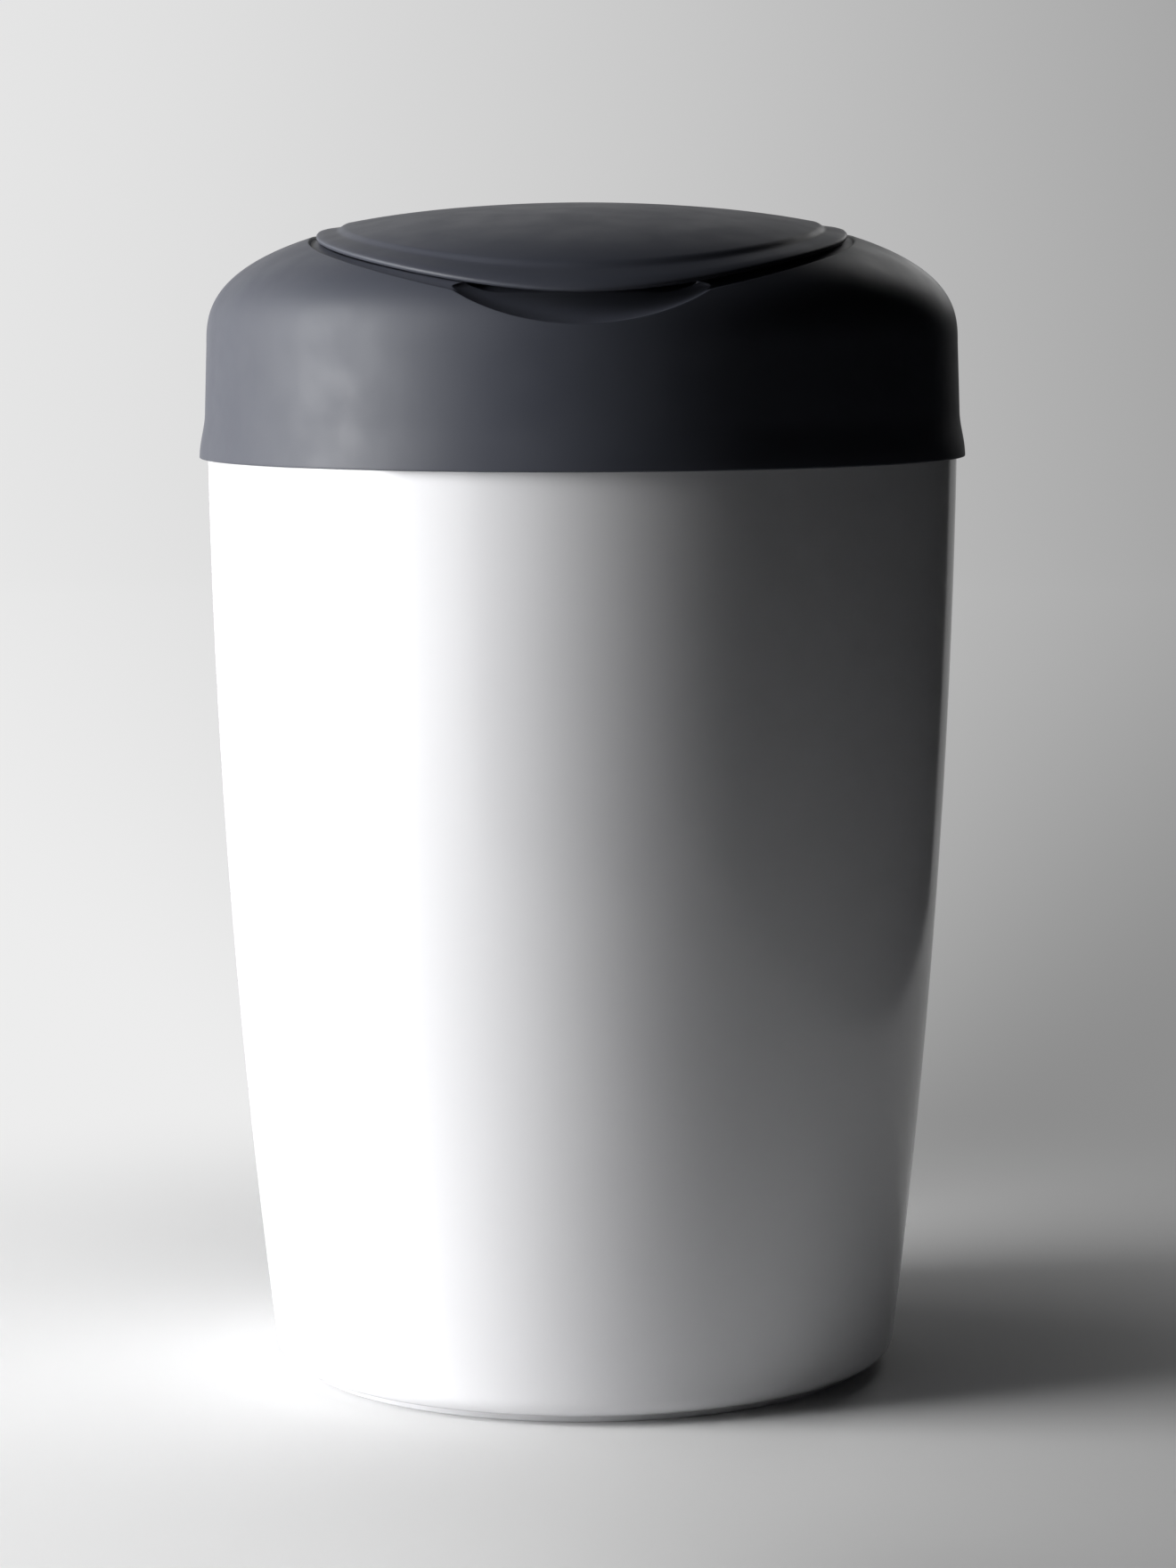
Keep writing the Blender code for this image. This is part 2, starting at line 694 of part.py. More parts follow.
def crown_rings(lift):
    """Over the crown to its middle, where the lift over the dome has faded out."""
    rings = [crown_ring(share, lift + CROWN_LIFT * (share**2 - 1)) for share in CROWN_SHARES]
    return rings + [[on_dome(Vector((0, LID_CENTRE_Y)), lift - CROWN_LIFT)]]


def make_lid_shell(grey, hinge):
    under = [lid_ring(inset, -LID_RIM_DROP) for inset in (LINER_INSET, CROWN_INSET)]
    under += crown_rings(-LID_RIM_DROP)
    lid = piece("lid_shell", skin(under[::-1] + lid_edge_rings() + crown_rings(CROWN_LIFT)), grey, hinge)
    half = KNUCKLE_HALF_WIDTH
    slot_end = half + HINGE_SIDE_PLAY * 2 + EAR_WIDTH
    slots = []
    for side in (-1, 1):
        ends = sorted((side * half, side * slot_end))
        slots.append(block(
            Vector((ends[0], HINGE_Y - HINGE_RADIUS - TROUGH_CLEARANCE, HINGE_Z - HINGE_RADIUS)),
            Vector((ends[1], HINGE_Y + HINGE_RADIUS + OVERRUN, HINGE_Z + HINGE_RADIUS + OVERRUN)),
        ))
    combine(lid, cutter("ear_slots", gathered(slots)), "DIFFERENCE")
    combine(lid, hinge_bar("knuckle", HINGE_RADIUS, -half, half), "UNION")
    reach = half + OVERRUN
    combine(lid, hinge_bar("knuckle_bore", ROD_RADIUS + ROD_PLAY, -reach, reach), "DIFFERENCE")


def make_lid_liner(grey, hinge):
    top = -LID_RIM_DROP - GAP
    low = top - LINER_WALL
    rib_low = low - SEAL_RIB_HEIGHT
    outer_rib = SEAL_INSET - SEAL_SIDE_PLAY
    inner_rib = SEAL_INSET + SEAL_WIDTH + SEAL_SIDE_PLAY
    rings = [
        lid_ring(CROWN_INSET, top),
        lid_ring(LINER_INSET, top),
        lid_ring(LINER_INSET, low),
        lid_ring(outer_rib - SEAL_RIB, low),
        lid_ring(outer_rib - SEAL_RIB, rib_low),
        lid_ring(outer_rib, rib_low),
        lid_ring(outer_rib, low),
        lid_ring(inner_rib, low),
        lid_ring(inner_rib, rib_low),
        lid_ring(inner_rib + SEAL_RIB, rib_low),
        lid_ring(inner_rib + SEAL_RIB, low),
    ]
    liner = piece("lid_liner", skin(crown_rings(top)[::-1] + rings + crown_rings(low)), grey, hinge)
    reach = KNUCKLE_HALF_WIDTH + HINGE_SIDE_PLAY * 2 + EAR_WIDTH + ROD_PLAY
    room = HINGE_RADIUS + LINER_CLEARANCE
    combine(liner, hinge_bar("liner_relief", room, -reach, reach), "DIFFERENCE")


def make_lid_seal(rubber, hinge):
    """The soft ring between the liner's ribs, which stands on the floor of the cover's channel."""
    top = -LID_RIM_DROP - GAP - LINER_WALL - GAP
    low = GAP - CHANNEL_DEPTH
    middle = SEAL_INSET + SEAL_WIDTH / 2
    rings = [
        lid_ring(SEAL_INSET, top),
        lid_ring(SEAL_INSET, (top + low) / 2),
        lid_ring(middle, low),
        lid_ring(SEAL_INSET + SEAL_WIDTH, (top + low) / 2),
        lid_ring(SEAL_INSET + SEAL_WIDTH, top),
    ]
    piece("lid_seal", skin(rings, closed=True), rubber, hinge)


def make_hinge_rod(steel, unit):
    half = KNUCKLE_HALF_WIDTH + HINGE_SIDE_PLAY + EAR_WIDTH - ROD_END_INSET
    piece("hinge_rod", bar_along_x(ROD_RADIUS, -half, half, SCREW_SIDES, HINGE_Y, HINGE_Z), steel, unit)


def deck_plate():
    """The disc that closes the tub, with the ring that locates it inside the spigot."""
    return revolve(
        [
            (0, DECK_Z),
            (LOCATOR_INNER_RADIUS, DECK_Z),
            (LOCATOR_INNER_RADIUS, DECK_Z - LOCATOR_DEPTH),
            (LOCATOR_RADIUS, DECK_Z - LOCATOR_DEPTH),
            (LOCATOR_RADIUS, DECK_Z),
            (DECK_RADIUS, DECK_Z),
            (DECK_RADIUS, DECK_TOP_Z),
            (0, DECK_TOP_Z),
        ],
        SHELL_SIDES,
        closed=False,
    )


def deck_well():
    """The round well for the carrier, with the throat in its floor and the bearing ring round the throat."""
    floor = WELL_FLOOR_Z + DECK_WALL
    bearing = THROAT_RADIUS + BEARING_WALL
    return revolve(
        [
            (THROAT_RADIUS, WELL_FLOOR_Z),
            (WELL_OUTER_RADIUS, WELL_FLOOR_Z),
            (WELL_OUTER_RADIUS, WELL_RIM_Z),
            (WELL_RADIUS, WELL_RIM_Z),
            (WELL_RADIUS, floor),
            (bearing, floor),
            (bearing, floor + BEARING_HEIGHT),
            (THROAT_RADIUS, floor + BEARING_HEIGHT),
        ],
        TURN_SIDES,
        TURN_CENTRE,
    )


def deck_rib(angle):
    """A gusset under the plate against the outside of the well."""
    toward = direction(angle)
    aside = Vector((-toward.y, toward.x)) * DECK_RIB_WALL / 2
    inner = WELL_RADIUS + WELL_WALL / 2
    outer = inner + (CUTTER_Y - CUTTER_DEPTH / 2 - WELL_REAR_Y) * DECK_RIB_REACH_SHARE
    mid_z = DECK_Z + DECK_WALL / 2
    corners = [(inner, mid_z - DECK_RIB_HEIGHT), (inner, mid_z), (outer, mid_z)]
    ends = []
    for shift in (-aside, aside):
        ends.append([
            Vector((toward.x * reach + shift.x, TURN_Y + toward.y * reach + shift.y, height))
            for reach, height in corners
        ])
    return skin(ends)


def clamp_screw_centres():
    return [
        TURN_CENTRE + direction(angle) * (THROAT_RADIUS + CLAMP_SCREW_STEP)
        for angle in turns(CLAMP_SCREWS, math.pi / 2)
    ]


def spring_screw_centre():
    return Vector((SPRING_TAIL_X + SPRING_BLOCK_WIDTH / 2, spring_y() + SPRING_BLOCK_DEPTH / 2))


def cutter_screw_centres():
    side = (CUTTER_WIDTH + CUTTER_SLOT_LENGTH) / 4
    return [Vector((-side, CUTTER_Y)), Vector((side, CUTTER_Y))]


def make_deck(inner_grey, unit):
    deck = piece("cassette_deck", deck_plate(), inner_grey, unit)
    mouth = post(WELL_RADIUS + WELL_WALL / 2, DECK_Z - OVERRUN, DECK_TOP_Z + OVERRUN, TURN_SIDES, TURN_CENTRE)
    combine(deck, cutter("well_mouth", mouth), "DIFFERENCE")
    combine(deck, cutter("deck_well", deck_well()), "UNION")
    spread = math.radians(DECK_RIB_END_DEGREES)
    angles = [
        spread + (math.pi - 2 * spread) * step / (DECK_RIBS - 1) for step in range(DECK_RIBS)
    ]
    combine(deck, cutter("deck_ribs", gathered([deck_rib(angle) for angle in angles])), "UNION")
    hole = SCREW_RADIUS + SCREW_HOLE_PLAY
    places = boss_centres() + [spring_screw_centre()] + cutter_screw_centres()
    holes = [post(hole, DECK_Z - OVERRUN, DECK_TOP_Z + OVERRUN, SCREW_SIDES, centre) for centre in places]
    low = WELL_FLOOR_Z - OVERRUN
    high = WELL_FLOOR_Z + DECK_WALL + OVERRUN
    holes += [post(hole, low, high, SCREW_SIDES, centre) for centre in clamp_screw_centres()]
    combine(deck, cutter("deck_holes", gathered(holes)), "DIFFERENCE")


def make_rim_seal(rubber, unit):
    low = TUB_RIM_Z + GAP
    high = low + RIM_SEAL_HEIGHT
    profile = [
        (SPIGOT_INNER_RADIUS, low),
        (SPIGOT_RADIUS, low),
        (SPIGOT_RADIUS, high),
        (SPIGOT_INNER_RADIUS, high),
    ]
    piece("rim_seal", revolve(profile, SHELL_SIDES), rubber, unit)


def make_carrier(inner_grey, turn):
    """The bowl that turns in the well. Its flange has two facets to each ratchet tooth."""
    floor = CARRIER_Z + CARRIER_FLOOR
    plain = [
        (CARRIER_INNER_RADIUS, FLANGE_TOP_Z),
        (CARRIER_INNER_RADIUS, floor),
        (CARRIER_HUB_RADIUS, floor),
        (CARRIER_HUB_RADIUS, CARRIER_Z),
        (CARRIER_RADIUS, CARRIER_Z),
        (CARRIER_RADIUS, FLANGE_Z),
    ]
    rings = [circle(radius, height, TURN_SIDES, TURN_CENTRE) for radius, height in plain]
    for height in (FLANGE_Z, FLANGE_TOP_Z):
        rings.append([
            Vector((TURN_CENTRE.x, TURN_CENTRE.y, height))
            + (direction(angle) * (FLANGE_RADIUS, TOOTH_RADIUS)[step % 2]).to_3d()
            for step, angle in enumerate(turns(TURN_SIDES))
        ])
    piece("twist_carrier", skin(rings, closed=True), inner_grey, turn)


def make_cassette_body(pale, turn):
    """A ring-shaped trough for the film, open at the top, with a rounded lip round its hub."""
    floor = CASSETTE_Z + CASSETTE_WALL
    hub_out = CASSETTE_HUB_RADIUS + CASSETTE_WALL
    lip = CASSETTE_TOP_Z + CASSETTE_LIP_RISE
    profile = [
        (CASSETTE_HUB_RADIUS, CASSETTE_Z),
        (CASSETTE_RADIUS, CASSETTE_Z),
        (CASSETTE_RADIUS, CASSETTE_TOP_Z),
        (CASSETTE_RADIUS - CASSETTE_WALL, CASSETTE_TOP_Z),
        (CASSETTE_RADIUS - CASSETTE_WALL, floor),
        (hub_out, floor),
        (hub_out, lip - CASSETTE_WALL),
        (CASSETTE_HUB_RADIUS + CASSETTE_WALL / 2, lip),
        (CASSETTE_HUB_RADIUS, lip - CASSETTE_WALL / 2),
    ]
    piece("cassette_body", revolve(profile, TURN_SIDES, TURN_CENTRE), pale, turn)


def grip(angle):
    """One finger grip on the cap: a low block with a rounded back."""
    toward = direction(angle)
    aside = Vector((-toward.y, toward.x))
    outer = CASSETTE_RADIUS - CASSETTE_WALL - GRIP_DEPTH * 2
    outline = []
    for step in range(GRIP_ROUND_SIDES + 1):
        bow = math.pi * step / GRIP_ROUND_SIDES
        out = outer + GRIP_DEPTH * math.sin(bow)
        outline.append(TURN_CENTRE + toward * out + aside * GRIP_WIDTH / 2 * math.cos(bow))
    low = CASSETTE_TOP_Z + GAP + CAP_WALL / 2
    return prism(outline, low, CASSETTE_TOP_Z + GAP + GRIP_HEIGHT)


def make_cassette_cap(accent, turn):
    """The ring that closes the trough but for the film's slot. It is turned by its grips."""
    inner = CASSETTE_HUB_RADIUS + CASSETTE_WALL + FILM_SLOT
    low = CASSETTE_TOP_Z + GAP
    hem_out = CASSETTE_RADIUS - CASSETTE_WALL - GAP
    hem_in = hem_out - CASSETTE_WALL
    profile = [
        (inner, low),
        (hem_in, low),
        (hem_in, low - CAP_HEM),
        (hem_out, low - CAP_HEM),
        (hem_out, low),
        (CASSETTE_RADIUS, low),
        (CASSETTE_RADIUS, low + CAP_WALL),
        (inner, low + CAP_WALL),
    ]
    cap = piece("cassette_cap", revolve(profile, TURN_SIDES, TURN_CENTRE), accent, turn)
    grips = gathered([grip(angle) for angle in turns(GRIPS, math.pi / GRIPS)])
    combine(cap, cutter("cap_grips", grips), "UNION")


def make_film_pack(film, turn):
    """The gathered film in the trough, as a ring with a pleated outside."""
    inner = CASSETTE_HUB_RADIUS + CASSETTE_WALL + FILM_PLAY
    outer = CASSETTE_RADIUS - CASSETTE_WALL - FILM_PLAY
    low = CASSETTE_Z + CASSETTE_WALL + GAP
    profile = [(inner, low + FILM_HEIGHT), (inner, low)]
    for step in range(FILM_PLEATS * 2 + 1):
        drawn = FILM_PLEAT_DEPTH * (1 - step % 2)
        profile.append((outer - drawn, low + FILM_HEIGHT * step / (FILM_PLEATS * 2)))
    piece("film_pack", revolve(profile, TURN_SIDES, TURN_CENTRE), film, turn)


def finger(angle, half_spread):
    """One finger of the gripper: a tapering plate that leans in and down from its flange."""
    high = GRIPPER_Z + GRIPPER_WALL
    root = THROAT_RADIUS + GRIPPER_WALL
    sections = []
    for radius, height in ((root, high), (THROAT_RADIUS - FINGER_REACH, high - FINGER_DROP)):
        near = TURN_CENTRE + direction(angle - half_spread) * radius
        far = TURN_CENTRE + direction(angle + half_spread) * radius
        sections.append([
            Vector((near.x, near.y, height)),
            Vector((far.x, far.y, height)),
            Vector((far.x, far.y, height - FINGER_WALL)),
            Vector((near.x, near.y, height - FINGER_WALL)),
        ])
    return skin(sections)


def make_gripper(soft, unit):
    outer = THROAT_RADIUS + GRIPPER_WIDTH
    flange = revolve(
        [
            (THROAT_RADIUS, GRIPPER_Z),
            (outer, GRIPPER_Z),
            (outer, GRIPPER_Z + GRIPPER_WALL),
            (THROAT_RADIUS, GRIPPER_Z + GRIPPER_WALL),
        ],
        TURN_SIDES,
        TURN_CENTRE,
    )
    gripper = piece("gripper_ring", flange, soft, unit)
    half = math.pi / FINGERS * FINGER_SPREAD_SHARE
    fingers = gathered([finger(angle, half) for angle in turns(FINGERS)])
    combine(gripper, cutter("gripper_fingers", fingers), "UNION")
    hole = SCREW_RADIUS + SCREW_HOLE_PLAY
    low = GRIPPER_Z - OVERRUN
    high = GRIPPER_Z + GRIPPER_WALL + OVERRUN
    holes = [post(hole, low, high, SCREW_SIDES, centre) for centre in clamp_screw_centres()]
    combine(gripper, cutter("gripper_holes", gathered(holes)), "DIFFERENCE")


def make_clamp(inner_grey, unit):
    high = CLAMP_Z + CLAMP_WALL
    outer = CLAMP_INNER_RADIUS + CLAMP_WIDTH
    profile = [
        (CLAMP_INNER_RADIUS, CLAMP_Z),
        (outer, CLAMP_Z),
        (outer, high),
        (CLAMP_INNER_RADIUS, high),
    ]
    clamp = piece("gripper_clamp", revolve(profile, TURN_SIDES, TURN_CENTRE), inner_grey, unit)
    hole = SCREW_RADIUS + SCREW_HOLE_PLAY
    low, top = CLAMP_Z - OVERRUN, high + OVERRUN
    holes = [post(hole, low, top, SCREW_SIDES, centre) for centre in clamp_screw_centres()]
    combine(clamp, cutter("clamp_holes", gathered(holes)), "DIFFERENCE")


def screw(centre, seat_z, length, upward=1):
    """A pan-head screw, with its head below the seat when it points up."""
    head = seat_z - upward * (GAP + SCREW_HEAD_HEIGHT)
    face = seat_z - upward * GAP
    tip = seat_z + upward * length
    profile = [
        (0, head),
        (SCREW_HEAD_RADIUS, head),
        (SCREW_HEAD_RADIUS, face),
        (SCREW_RADIUS, face),
        (SCREW_RADIUS, tip),
        (0, tip),
    ]
    return revolve(profile, SCREW_SIDES, centre, closed=False)


def make_screws(steel, unit):
    for number, centre in enumerate(boss_centres(), 1):
        piece(f"deck_screw_{number}", screw(centre, DECK_Z, SCREW_LENGTH), steel, unit)
    length = CLAMP_WALL + GAP + GRIPPER_WALL + GAP + DECK_WALL
    for number, centre in enumerate(clamp_screw_centres(), 1):
        piece(f"clamp_screw_{number}", screw(centre, CLAMP_Z, length), steel, unit)
    seat = DECK_TOP_Z + GAP + SPRING_FOOT_HEIGHT
    length = GAP + SPRING_FOOT_HEIGHT + DECK_WALL
    piece("spring_screw", screw(spring_screw_centre(), seat, length, upward=-1), steel, unit)
    length = DECK_WALL + GAP + SHORT_SCREW_LENGTH
    for number, centre in enumerate(cutter_screw_centres(), 1):
        piece(f"cutter_screw_{number}", screw(centre, DECK_TOP_Z, length, upward=-1), steel, unit)


def spring_y():
    """Near face of the click spring's leaf, so that its tip just clears the crests of the teeth."""
    return TURN_Y + TOOTH_RADIUS + SPRING_TIP_CLEARANCE + SPRING_TIP_REACH


def make_click_spring(acetal, unit):
    """A leaf on edge with a tip for the ratchet, and the foot that it is screwed down by."""
    near = spring_y()
    far = near + SPRING_THICKNESS
    tail = SPRING_TAIL_X + SPRING_THICKNESS
    leaf = prism(
        [
            Vector((tail, near)),
            Vector((tail, far)),
            Vector((-SPRING_TIP_HALF, far)),
            Vector((-SPRING_TIP_HALF, near)),
            Vector((0, near - SPRING_TIP_REACH)),
            Vector((SPRING_TIP_HALF, near)),
        ],
        DECK_TOP_Z + GAP + SPRING_FOOT_HEIGHT / 2,
        FLANGE_TOP_Z,
    )
    spring = piece("click_spring", leaf, acetal, unit)
    foot_low = Vector((SPRING_TAIL_X, near, DECK_TOP_Z + GAP))
    foot = block(foot_low, foot_low + Vector((SPRING_BLOCK_WIDTH, SPRING_BLOCK_DEPTH, SPRING_FOOT_HEIGHT)))
    combine(spring, cutter("spring_foot", foot), "UNION")
    hole = SCREW_RADIUS + SCREW_HOLE_PLAY
    low = DECK_TOP_Z - OVERRUN
    high = DECK_TOP_Z + SPRING_FOOT_HEIGHT + OVERRUN
    bore = post(hole, low, high, SCREW_SIDES, spring_screw_centre())
    combine(spring, cutter("spring_bore", bore), "DIFFERENCE")


def make_cutter(accent, steel, unit):
    """The guard with its narrow slot, which only film can enter, and the blade across the slot."""
    high = DECK_Z - GAP
    low = high - CUTTER_HEIGHT
    front = CUTTER_Y - CUTTER_DEPTH / 2
    rear = CUTTER_Y + CUTTER_DEPTH / 2
    guard = piece(
        "cutter_housing",
        block(Vector((-CUTTER_WIDTH / 2, front, low)), Vector((CUTTER_WIDTH / 2, rear, high))),
        accent,
        unit,
    )
    half_slot = CUTTER_SLOT / 2
    slot_end = CUTTER_SLOT_LENGTH / 2
    slot_top = high - CUTTER_SLOT
    mouth = CUTTER_MOUTH / 2
    slot_outline = [
        (CUTTER_Y - mouth, low - OVERRUN),
        (CUTTER_Y + mouth, low - OVERRUN),
        (CUTTER_Y + half_slot, low + mouth),
        (CUTTER_Y + half_slot, slot_top),
        (CUTTER_Y - half_slot, slot_top),
        (CUTTER_Y - half_slot, low + mouth),
    ]
    slot = skin([[Vector((x, y, z)) for y, z in slot_outline] for x in (-slot_end, slot_end)])
    combine(guard, cutter("cutter_slot", slot), "DIFFERENCE")
    pocket_half = BLADE_THICKNESS / 2 + BLADE_POCKET_PLAY
    blade_top = slot_top + CUTTER_SLOT / 2
    blade_low = blade_top - BLADE_WIDTH
    pocket_end = BLADE_LENGTH / 2 + BLADE_POCKET_PLAY
    pocket = block(
        Vector((-pocket_end, CUTTER_Y - pocket_half, blade_low)),
        Vector((pocket_end, CUTTER_Y + pocket_half, blade_top + GAP)),
    )
    combine(guard, cutter("blade_pocket", pocket), "DIFFERENCE")
    hole = SCREW_RADIUS + SCREW_HOLE_PLAY
    bottom = high - SHORT_SCREW_LENGTH - OVERRUN
    holes = [post(hole, bottom, high + OVERRUN, SCREW_SIDES, centre) for centre in cutter_screw_centres()]
    combine(guard, cutter("cutter_holes", gathered(holes)), "DIFFERENCE")
    edge = BLADE_WIDTH / 3
    outline = [
        (-BLADE_LENGTH / 2, blade_top),
        (BLADE_LENGTH / 2, blade_top),
        (BLADE_LENGTH / 2, blade_low + edge),
        (0, blade_low),
        (-BLADE_LENGTH / 2, blade_low + edge),
    ]
    half = BLADE_THICKNESS / 2
    blade = skin([[Vector((x, y, z)) for x, z in outline] for y in (CUTTER_Y - half, CUTTER_Y + half)])
    piece("cutter_blade", blade, steel, unit)


def clear_scene():
    for old in list(bpy.data.objects):
        bpy.data.objects.remove(old, do_unlink=True)


def main():
    clear_scene()
    white = material("tub_white", (0.86, 0.86, 0.87), 0.18)
    grey = material("cover_grey", (0.055, 0.057, 0.065), 0.38)
    inner_grey = material("inner_grey", (0.16, 0.165, 0.18), 0.5)
    accent = material("accent_teal", (0.05, 0.32, 0.36), 0.4)
    pale = material("cassette_white", (0.8, 0.81, 0.82), 0.4)
    film = material("film_blue", (0.45, 0.6, 0.72), 0.35)
    soft = material("gripper_soft", (0.35, 0.36, 0.38), 0.6)
    rubber = material("seal_rubber", (0.03, 0.03, 0.032), 0.8)
    acetal = material("acetal_white", (0.75, 0.75, 0.72), 0.4)
    steel = material("steel", (0.6, 0.61, 0.62), 0.3, 1.0)

    unit = axis_empty("upper_unit_origin", Vector((0, 0, TUB_RIM_Z)))
    hinge = axis_empty("lid_hinge_axis", HINGE)
    turn = axis_empty("twist_axis", Vector((0, TURN_Y, CARRIER_Z)))

    make_tub(white)
    make_cover(grey, unit)
    make_deck(inner_grey, unit)
    make_rim_seal(rubber, unit)
    make_gripper(soft, unit)
    make_clamp(inner_grey, unit)
    make_click_spring(acetal, unit)
    make_cutter(accent, steel, unit)
    make_screws(steel, unit)
    make_hinge_rod(steel, unit)
    make_lid_shell(grey, hinge)
    make_lid_liner(inner_grey, hinge)
    make_lid_seal(rubber, hinge)
    make_carrier(inner_grey, turn)
    make_cassette_body(pale, turn)
    make_cassette_cap(accent, turn)
    make_film_pack(film, turn)
    bpy.context.view_layer.update()


main()
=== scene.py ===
"""The looks of a round nappy bin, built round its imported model, in a plain pale studio.

Metres, +Z up, front at -Y. The sizes and the formulas of the shells are those of the part's own source, with
finer facets and softened edges. Pieces are made by function, one for each sub-part.
"""

import math

import bmesh
import bpy
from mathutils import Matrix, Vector


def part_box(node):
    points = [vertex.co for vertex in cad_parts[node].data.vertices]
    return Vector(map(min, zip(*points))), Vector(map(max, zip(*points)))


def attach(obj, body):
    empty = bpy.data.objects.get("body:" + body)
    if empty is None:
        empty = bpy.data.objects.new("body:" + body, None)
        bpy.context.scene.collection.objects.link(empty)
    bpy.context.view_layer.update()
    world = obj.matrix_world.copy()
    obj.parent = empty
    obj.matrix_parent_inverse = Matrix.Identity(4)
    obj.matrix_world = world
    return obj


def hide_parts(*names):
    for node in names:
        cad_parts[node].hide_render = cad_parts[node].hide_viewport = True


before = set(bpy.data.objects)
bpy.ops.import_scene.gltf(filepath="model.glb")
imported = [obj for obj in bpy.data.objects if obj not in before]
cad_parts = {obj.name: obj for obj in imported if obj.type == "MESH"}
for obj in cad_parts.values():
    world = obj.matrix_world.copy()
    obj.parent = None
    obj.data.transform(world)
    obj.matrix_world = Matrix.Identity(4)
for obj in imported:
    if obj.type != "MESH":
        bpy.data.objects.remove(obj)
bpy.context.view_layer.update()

# Facets of the fine pieces
FINE_SIDES = 192
INNER_SIDES = 144
SCOOP_STATIONS = 72
SCOOP_SIDES = 96
PIN_SIDES = 48
EDGE_STEPS = 4
WALL_STEPS = 40
FILLET_STEPS = 10
FLARE_STEPS = 14
DOME_STEPS = 30
UNDER_STEPS = 12
ENVELOPE_STEPS = 16
CROWN_STEPS = 14

GAP = 0.0003
OVERRUN = 0.002
GAUGE = 0.00002
CORNER_SHARE = 0.45
CREASE_DEGREES = 35

# Tub
TUB_TOP_RADIUS = 0.13985
TUB_FOOT_RADIUS = 0.1176
TUB_BULGE = 0.00445
TUB_SHOULDER_Z = 0.344
TUB_WALL = 0.0026
TUB_BASE_WALL = 0.003
TUB_FILLET = 0.0075
FOOT_HEIGHT = 0.003
FOOT_INSET = 0.0022
FOOT_WIDTH = 0.009
BASE_RECESS = 0.006
SHOULDER_HEIGHT = 0.004
SPIGOT_INSET = 0.0034
SPIGOT_HEIGHT = 0.018
TUB_EDGE = 0.0008

# Cover
COVER_WALL = 0.0024
SKIRT_CLEARANCE = 0.00075
SKIRT_OVERLAP = 0.001
SKIRT_HEIGHT = 0.042
SKIRT_TAPER = 0.0008
FLARE = 0.0022
FLARE_HEIGHT = 0.0174
DOME_RISE = 0.052
DOME_POWER = 0.38
SKIRT_EDGE = 0.0007
OPENING_EDGE = 0.0009

# Lid and its liner and seal
LID_HALF_WIDTH = 0.097
LID_FRONT_DEPTH = 0.1057
LID_REAR_DEPTH = 0.0951
LID_CENTRE_Y = -0.0286
FRONT_POWER = 2.0
REAR_POWER = 3.0
LID_RIM_DROP = 0.0008
LID_BEAD_INSET = 0.0026
LID_BEAD_LIFT = 0.0013
LID_BORDER_INSET = 0.0068
LID_BORDER_LIFT = 0.0007
LID_BORDER_FLAT = 0.0012
CROWN_INSET = 0.0100
CROWN_LIFT = 0.0015
CROWN_EDGE = 0.0022
LID_ROUND = 0.0009
LINER_INSET = 0.0052
LINER_WALL = 0.0018
SEAL_INSET = 0.0096
SEAL_WIDTH = 0.0030
SEAL_RIB = 0.0009
SEAL_RIB_HEIGHT = 0.0014
SEAL_SIDE_PLAY = 0.0003
LINER_CLEARANCE = 0.0006

# Opening of the cover
RECESS_GAP = 0.0030
RECESS_STEP = 0.0003
RECESS_DEPTH = 0.0018
LEDGE_INSET = 0.0015
CHANNEL_STEP = 0.0006
CHANNEL_DEPTH = 0.0065
COLLAR_WALL = 0.0022
COLLAR_FLOOR_SHARE = 1.1
COLLAR_PLAY = 0.0042
COLLAR_EDGE_SHARES = ((0, 1), (0.1, 1 / 3), (0.33, 0), (0.67, 0), (0.9, 1 / 3), (1, 1))
ON_DOME = 0.0001
SQUARE_ENOUGH = 0.9

# Thumb scoop
SCOOP_HALF_WIDTH = 0.047
SCOOP_RADIUS = 0.141
SCOOP_TUCK = 0.008
SCOOP_DROP = 0.0131
SCOOP_REACH = 0.0160
SCOOP_LIP_DROP = 0.0300
SCOOP_WALL = 0.0022

# Hinge
HINGE_RADIUS = 0.0046
HINGE_SINK = 0.0002
KNUCKLE_HALF_WIDTH = 0.0343
HINGE_SIDE_PLAY = 0.0003
EAR_WIDTH = 0.0058
EAR_WEB_HALF = 0.0030
TROUGH_CLEARANCE = 0.0016
TROUGH_HALF_LENGTH = 0.050
ROD_RADIUS = 0.0015
ROD_PLAY = 0.0003
ROD_END_INSET = 0.0004

# Deck, its well and its ribs
MECHANISM_EDGE = 0.0004
DECK_WALL = 0.0025
DECK_EDGE_CLEARANCE = 0.0006
RIM_SEAL_HEIGHT = 0.0027
LOCATOR_CLEARANCE = 0.0009
LOCATOR_WALL = 0.0022
LOCATOR_DEPTH = 0.017
WELL_FRONT_MARGIN = 0.00835
WELL_RADIUS = 0.086
WELL_WALL = 0.0024
WELL_DEPTH = 0.0508
WELL_RIM_RISE = 0.0142
BEARING_WALL = 0.0020
BEARING_HEIGHT = 0.0045
DECK_RIBS = 7
DECK_RIB_END_DEGREES = 20
DECK_RIB_WALL = 0.0018
DECK_RIB_HEIGHT = 0.010
DECK_RIB_REACH = 0.016

